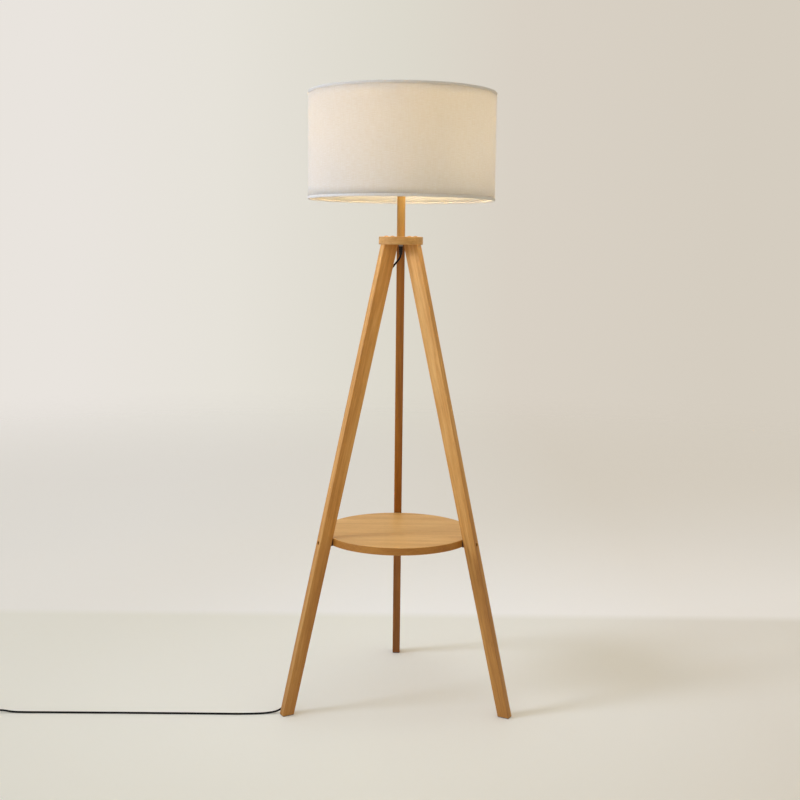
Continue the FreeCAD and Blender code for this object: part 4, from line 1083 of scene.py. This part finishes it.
# %% Floor
def studio_floor(name):
    """Matt floor paint whose tone drifts from left to right and steps up behind the lamp."""
    material, tree = material_tree(name)
    place = add(tree, "ShaderNodeTexCoord").outputs["Object"]
    parts = add(tree, "ShaderNodeSeparateXYZ", {"Vector": place})
    side = add(
        tree,
        "ShaderNodeMapRange",
        {"Value": parts.outputs["X"], "From Min": -1.1, "From Max": 0.9},
    )
    near = add(
        tree,
        "ShaderNodeValToRGB",
        {"Fac": side.outputs[0]},
        stops=list(zip((0.0, 0.5, 1.0), FLOOR_TONES)),
    )
    far = add(
        tree,
        "ShaderNodeValToRGB",
        {"Fac": side.outputs[0]},
        stops=list(zip((0.0, 0.5, 1.0), FAR_TONES)),
    )
    line = add(
        tree,
        "ShaderNodeMapRange",
        {"Value": parts.outputs["Y"], "From Min": 0.60, "From Max": 0.66},
    )
    tone = add(
        tree,
        "ShaderNodeMix",
        {0: line.outputs[0], 6: near.outputs[0], 7: far.outputs[0]},
        data_type="RGBA",
    )
    matt = add(tree, "ShaderNodeBsdfPrincipled", {"Base Color": tone.outputs[2], "Roughness": 0.9})
    reach = add(tree, "ShaderNodeVectorMath", {0: place}, operation="LENGTH")
    away = add(
        tree,
        "ShaderNodeMapRange",
        {"Value": reach.outputs["Value"], "From Min": 2.6, "From Max": 6.5},
        interpolation_type="SMOOTHSTEP",
    )
    clear = add(tree, "ShaderNodeBsdfTransparent")
    both = add(
        tree,
        "ShaderNodeMixShader",
        {"Fac": away.outputs[0], 1: matt.outputs[0], 2: clear.outputs[0]},
    )
    output(tree, both)
    return material


FLOOR_TONES = ("#F6F6EE", "#F2F0E3", "#E6DFD0")
FAR_TONES = ("#FDFCF9", "#FBF9F3", "#F4EEE3")
form = bmesh.new()
bmesh.ops.create_grid(form, x_segments=24, y_segments=24, size=7.0)
floor = mesh_piece(form, "studio_floor", [studio_floor("matt_floor_paint")])
floor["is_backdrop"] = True

# %% [markdown]
# Most of the light is a pale sky all around, cooler on the left and warmer on the right. Behind
# the lamp it is the wall's own tone, and elsewhere it grows stronger overhead. A window high on
# the left is aimed at the lamp, and a wide ceiling light fills in from above. Inside the shade a
# small cool light beside the bulb lifts the glow at the front right of the drum.

# %% Light
scene = bpy.context.scene
scene.view_settings.view_transform = "Standard"
sky = bpy.data.worlds.new("studio")
sky.use_nodes = True
tree = sky.node_tree
tree.nodes.clear()
way = add(tree, "ShaderNodeTexCoord").outputs["Generated"]
parts = add(tree, "ShaderNodeSeparateXYZ", {"Vector": way})
drift = add(
    tree, "ShaderNodeMapRange", {"Value": parts.outputs["X"], "From Min": -0.30, "From Max": 0.30}
)
WALL_TONES = [(0.05, "#E9E4DE"), (0.26, "#E6E2D9"), (0.5, "#DDD9CD"), (0.66, "#D9D1C5"), (0.95, "#D5CDC0")]
ROOM_TONES = [(0.0, "#D6D7DA"), (1.0, "#C2BAAB")]
wall = add(tree, "ShaderNodeValToRGB", {"Fac": drift.outputs[0]}, stops=WALL_TONES)
room = add(tree, "ShaderNodeValToRGB", {"Fac": drift.outputs[0]}, stops=ROOM_TONES)
behind = add(tree, "ShaderNodeMapRange", {"Value": parts.outputs["Y"], "From Min": 0.6, "From Max": 0.85})
tone = add(
    tree,
    "ShaderNodeMix",
    {0: behind.outputs[0], 6: room.outputs[0], 7: wall.outputs[0]},
    data_type="RGBA",
)
overhead = add(
    tree,
    "ShaderNodeMapRange",
    {"Value": parts.outputs["Z"], "From Min": -0.1, "From Max": 0.8, "To Min": 0.95, "To Max": 1.2},
)
power = add(
    tree,
    "ShaderNodeMix",
    {0: behind.outputs[0], 2: overhead.outputs[0], 3: 1.0},
    data_type="FLOAT",
)
fill = add(tree, "ShaderNodeBackground", {"Color": tone.outputs[2], "Strength": power.outputs[0]})
add(tree, "ShaderNodeOutputWorld", {"Surface": fill.outputs[0]})
scene.world = sky


def soft_light(name, place, target, size, watts, colour, spread):
    """A round area light at a place, turned to a target. Its spread is in degrees."""
    data = bpy.data.lights.new(name, "AREA")
    data.spread = math.radians(spread)
    data.shape = "DISK"
    data.size = size
    data.energy = watts
    data.color = linear(colour)[:3]
    lamp = bpy.data.objects.new(name, data)
    lamp.location = place
    lamp.rotation_euler = (Vector(target) - Vector(place)).to_track_quat("-Z", "Y").to_euler()
    scene.collection.objects.link(lamp)
    print(name, "at", place, "with", watts, "W")


soft_light("window", (-2.7, -0.9, 2.3), (0, 0, 0.8), size=1.0, watts=4.4, colour="#CEDFFF", spread=40)
soft_light("ceiling", (0, -0.4, 4.0), (0, -0.4, 0), size=3.0, watts=9.5, colour="#F4F8FF", spread=180)
glow = bpy.data.lights.new("shade_glow", "POINT")
glow.shadow_soft_size = 0.03
glow.energy = 0.7
glow.color = (0.92, 0.96, 1.0)
glow_place = bpy.data.objects.new("shade_glow", glow)
glow_place.location = (0.08, -0.07, 1.33)
scene.collection.objects.link(glow_place)

# %% Sizes and finish
final_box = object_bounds()
grown = [(b - a) / MM for p, q in zip(frame_box, final_box) for a, b in zip(p, q)]
print("grown by mm:", [round(change, 1) for change in grown])
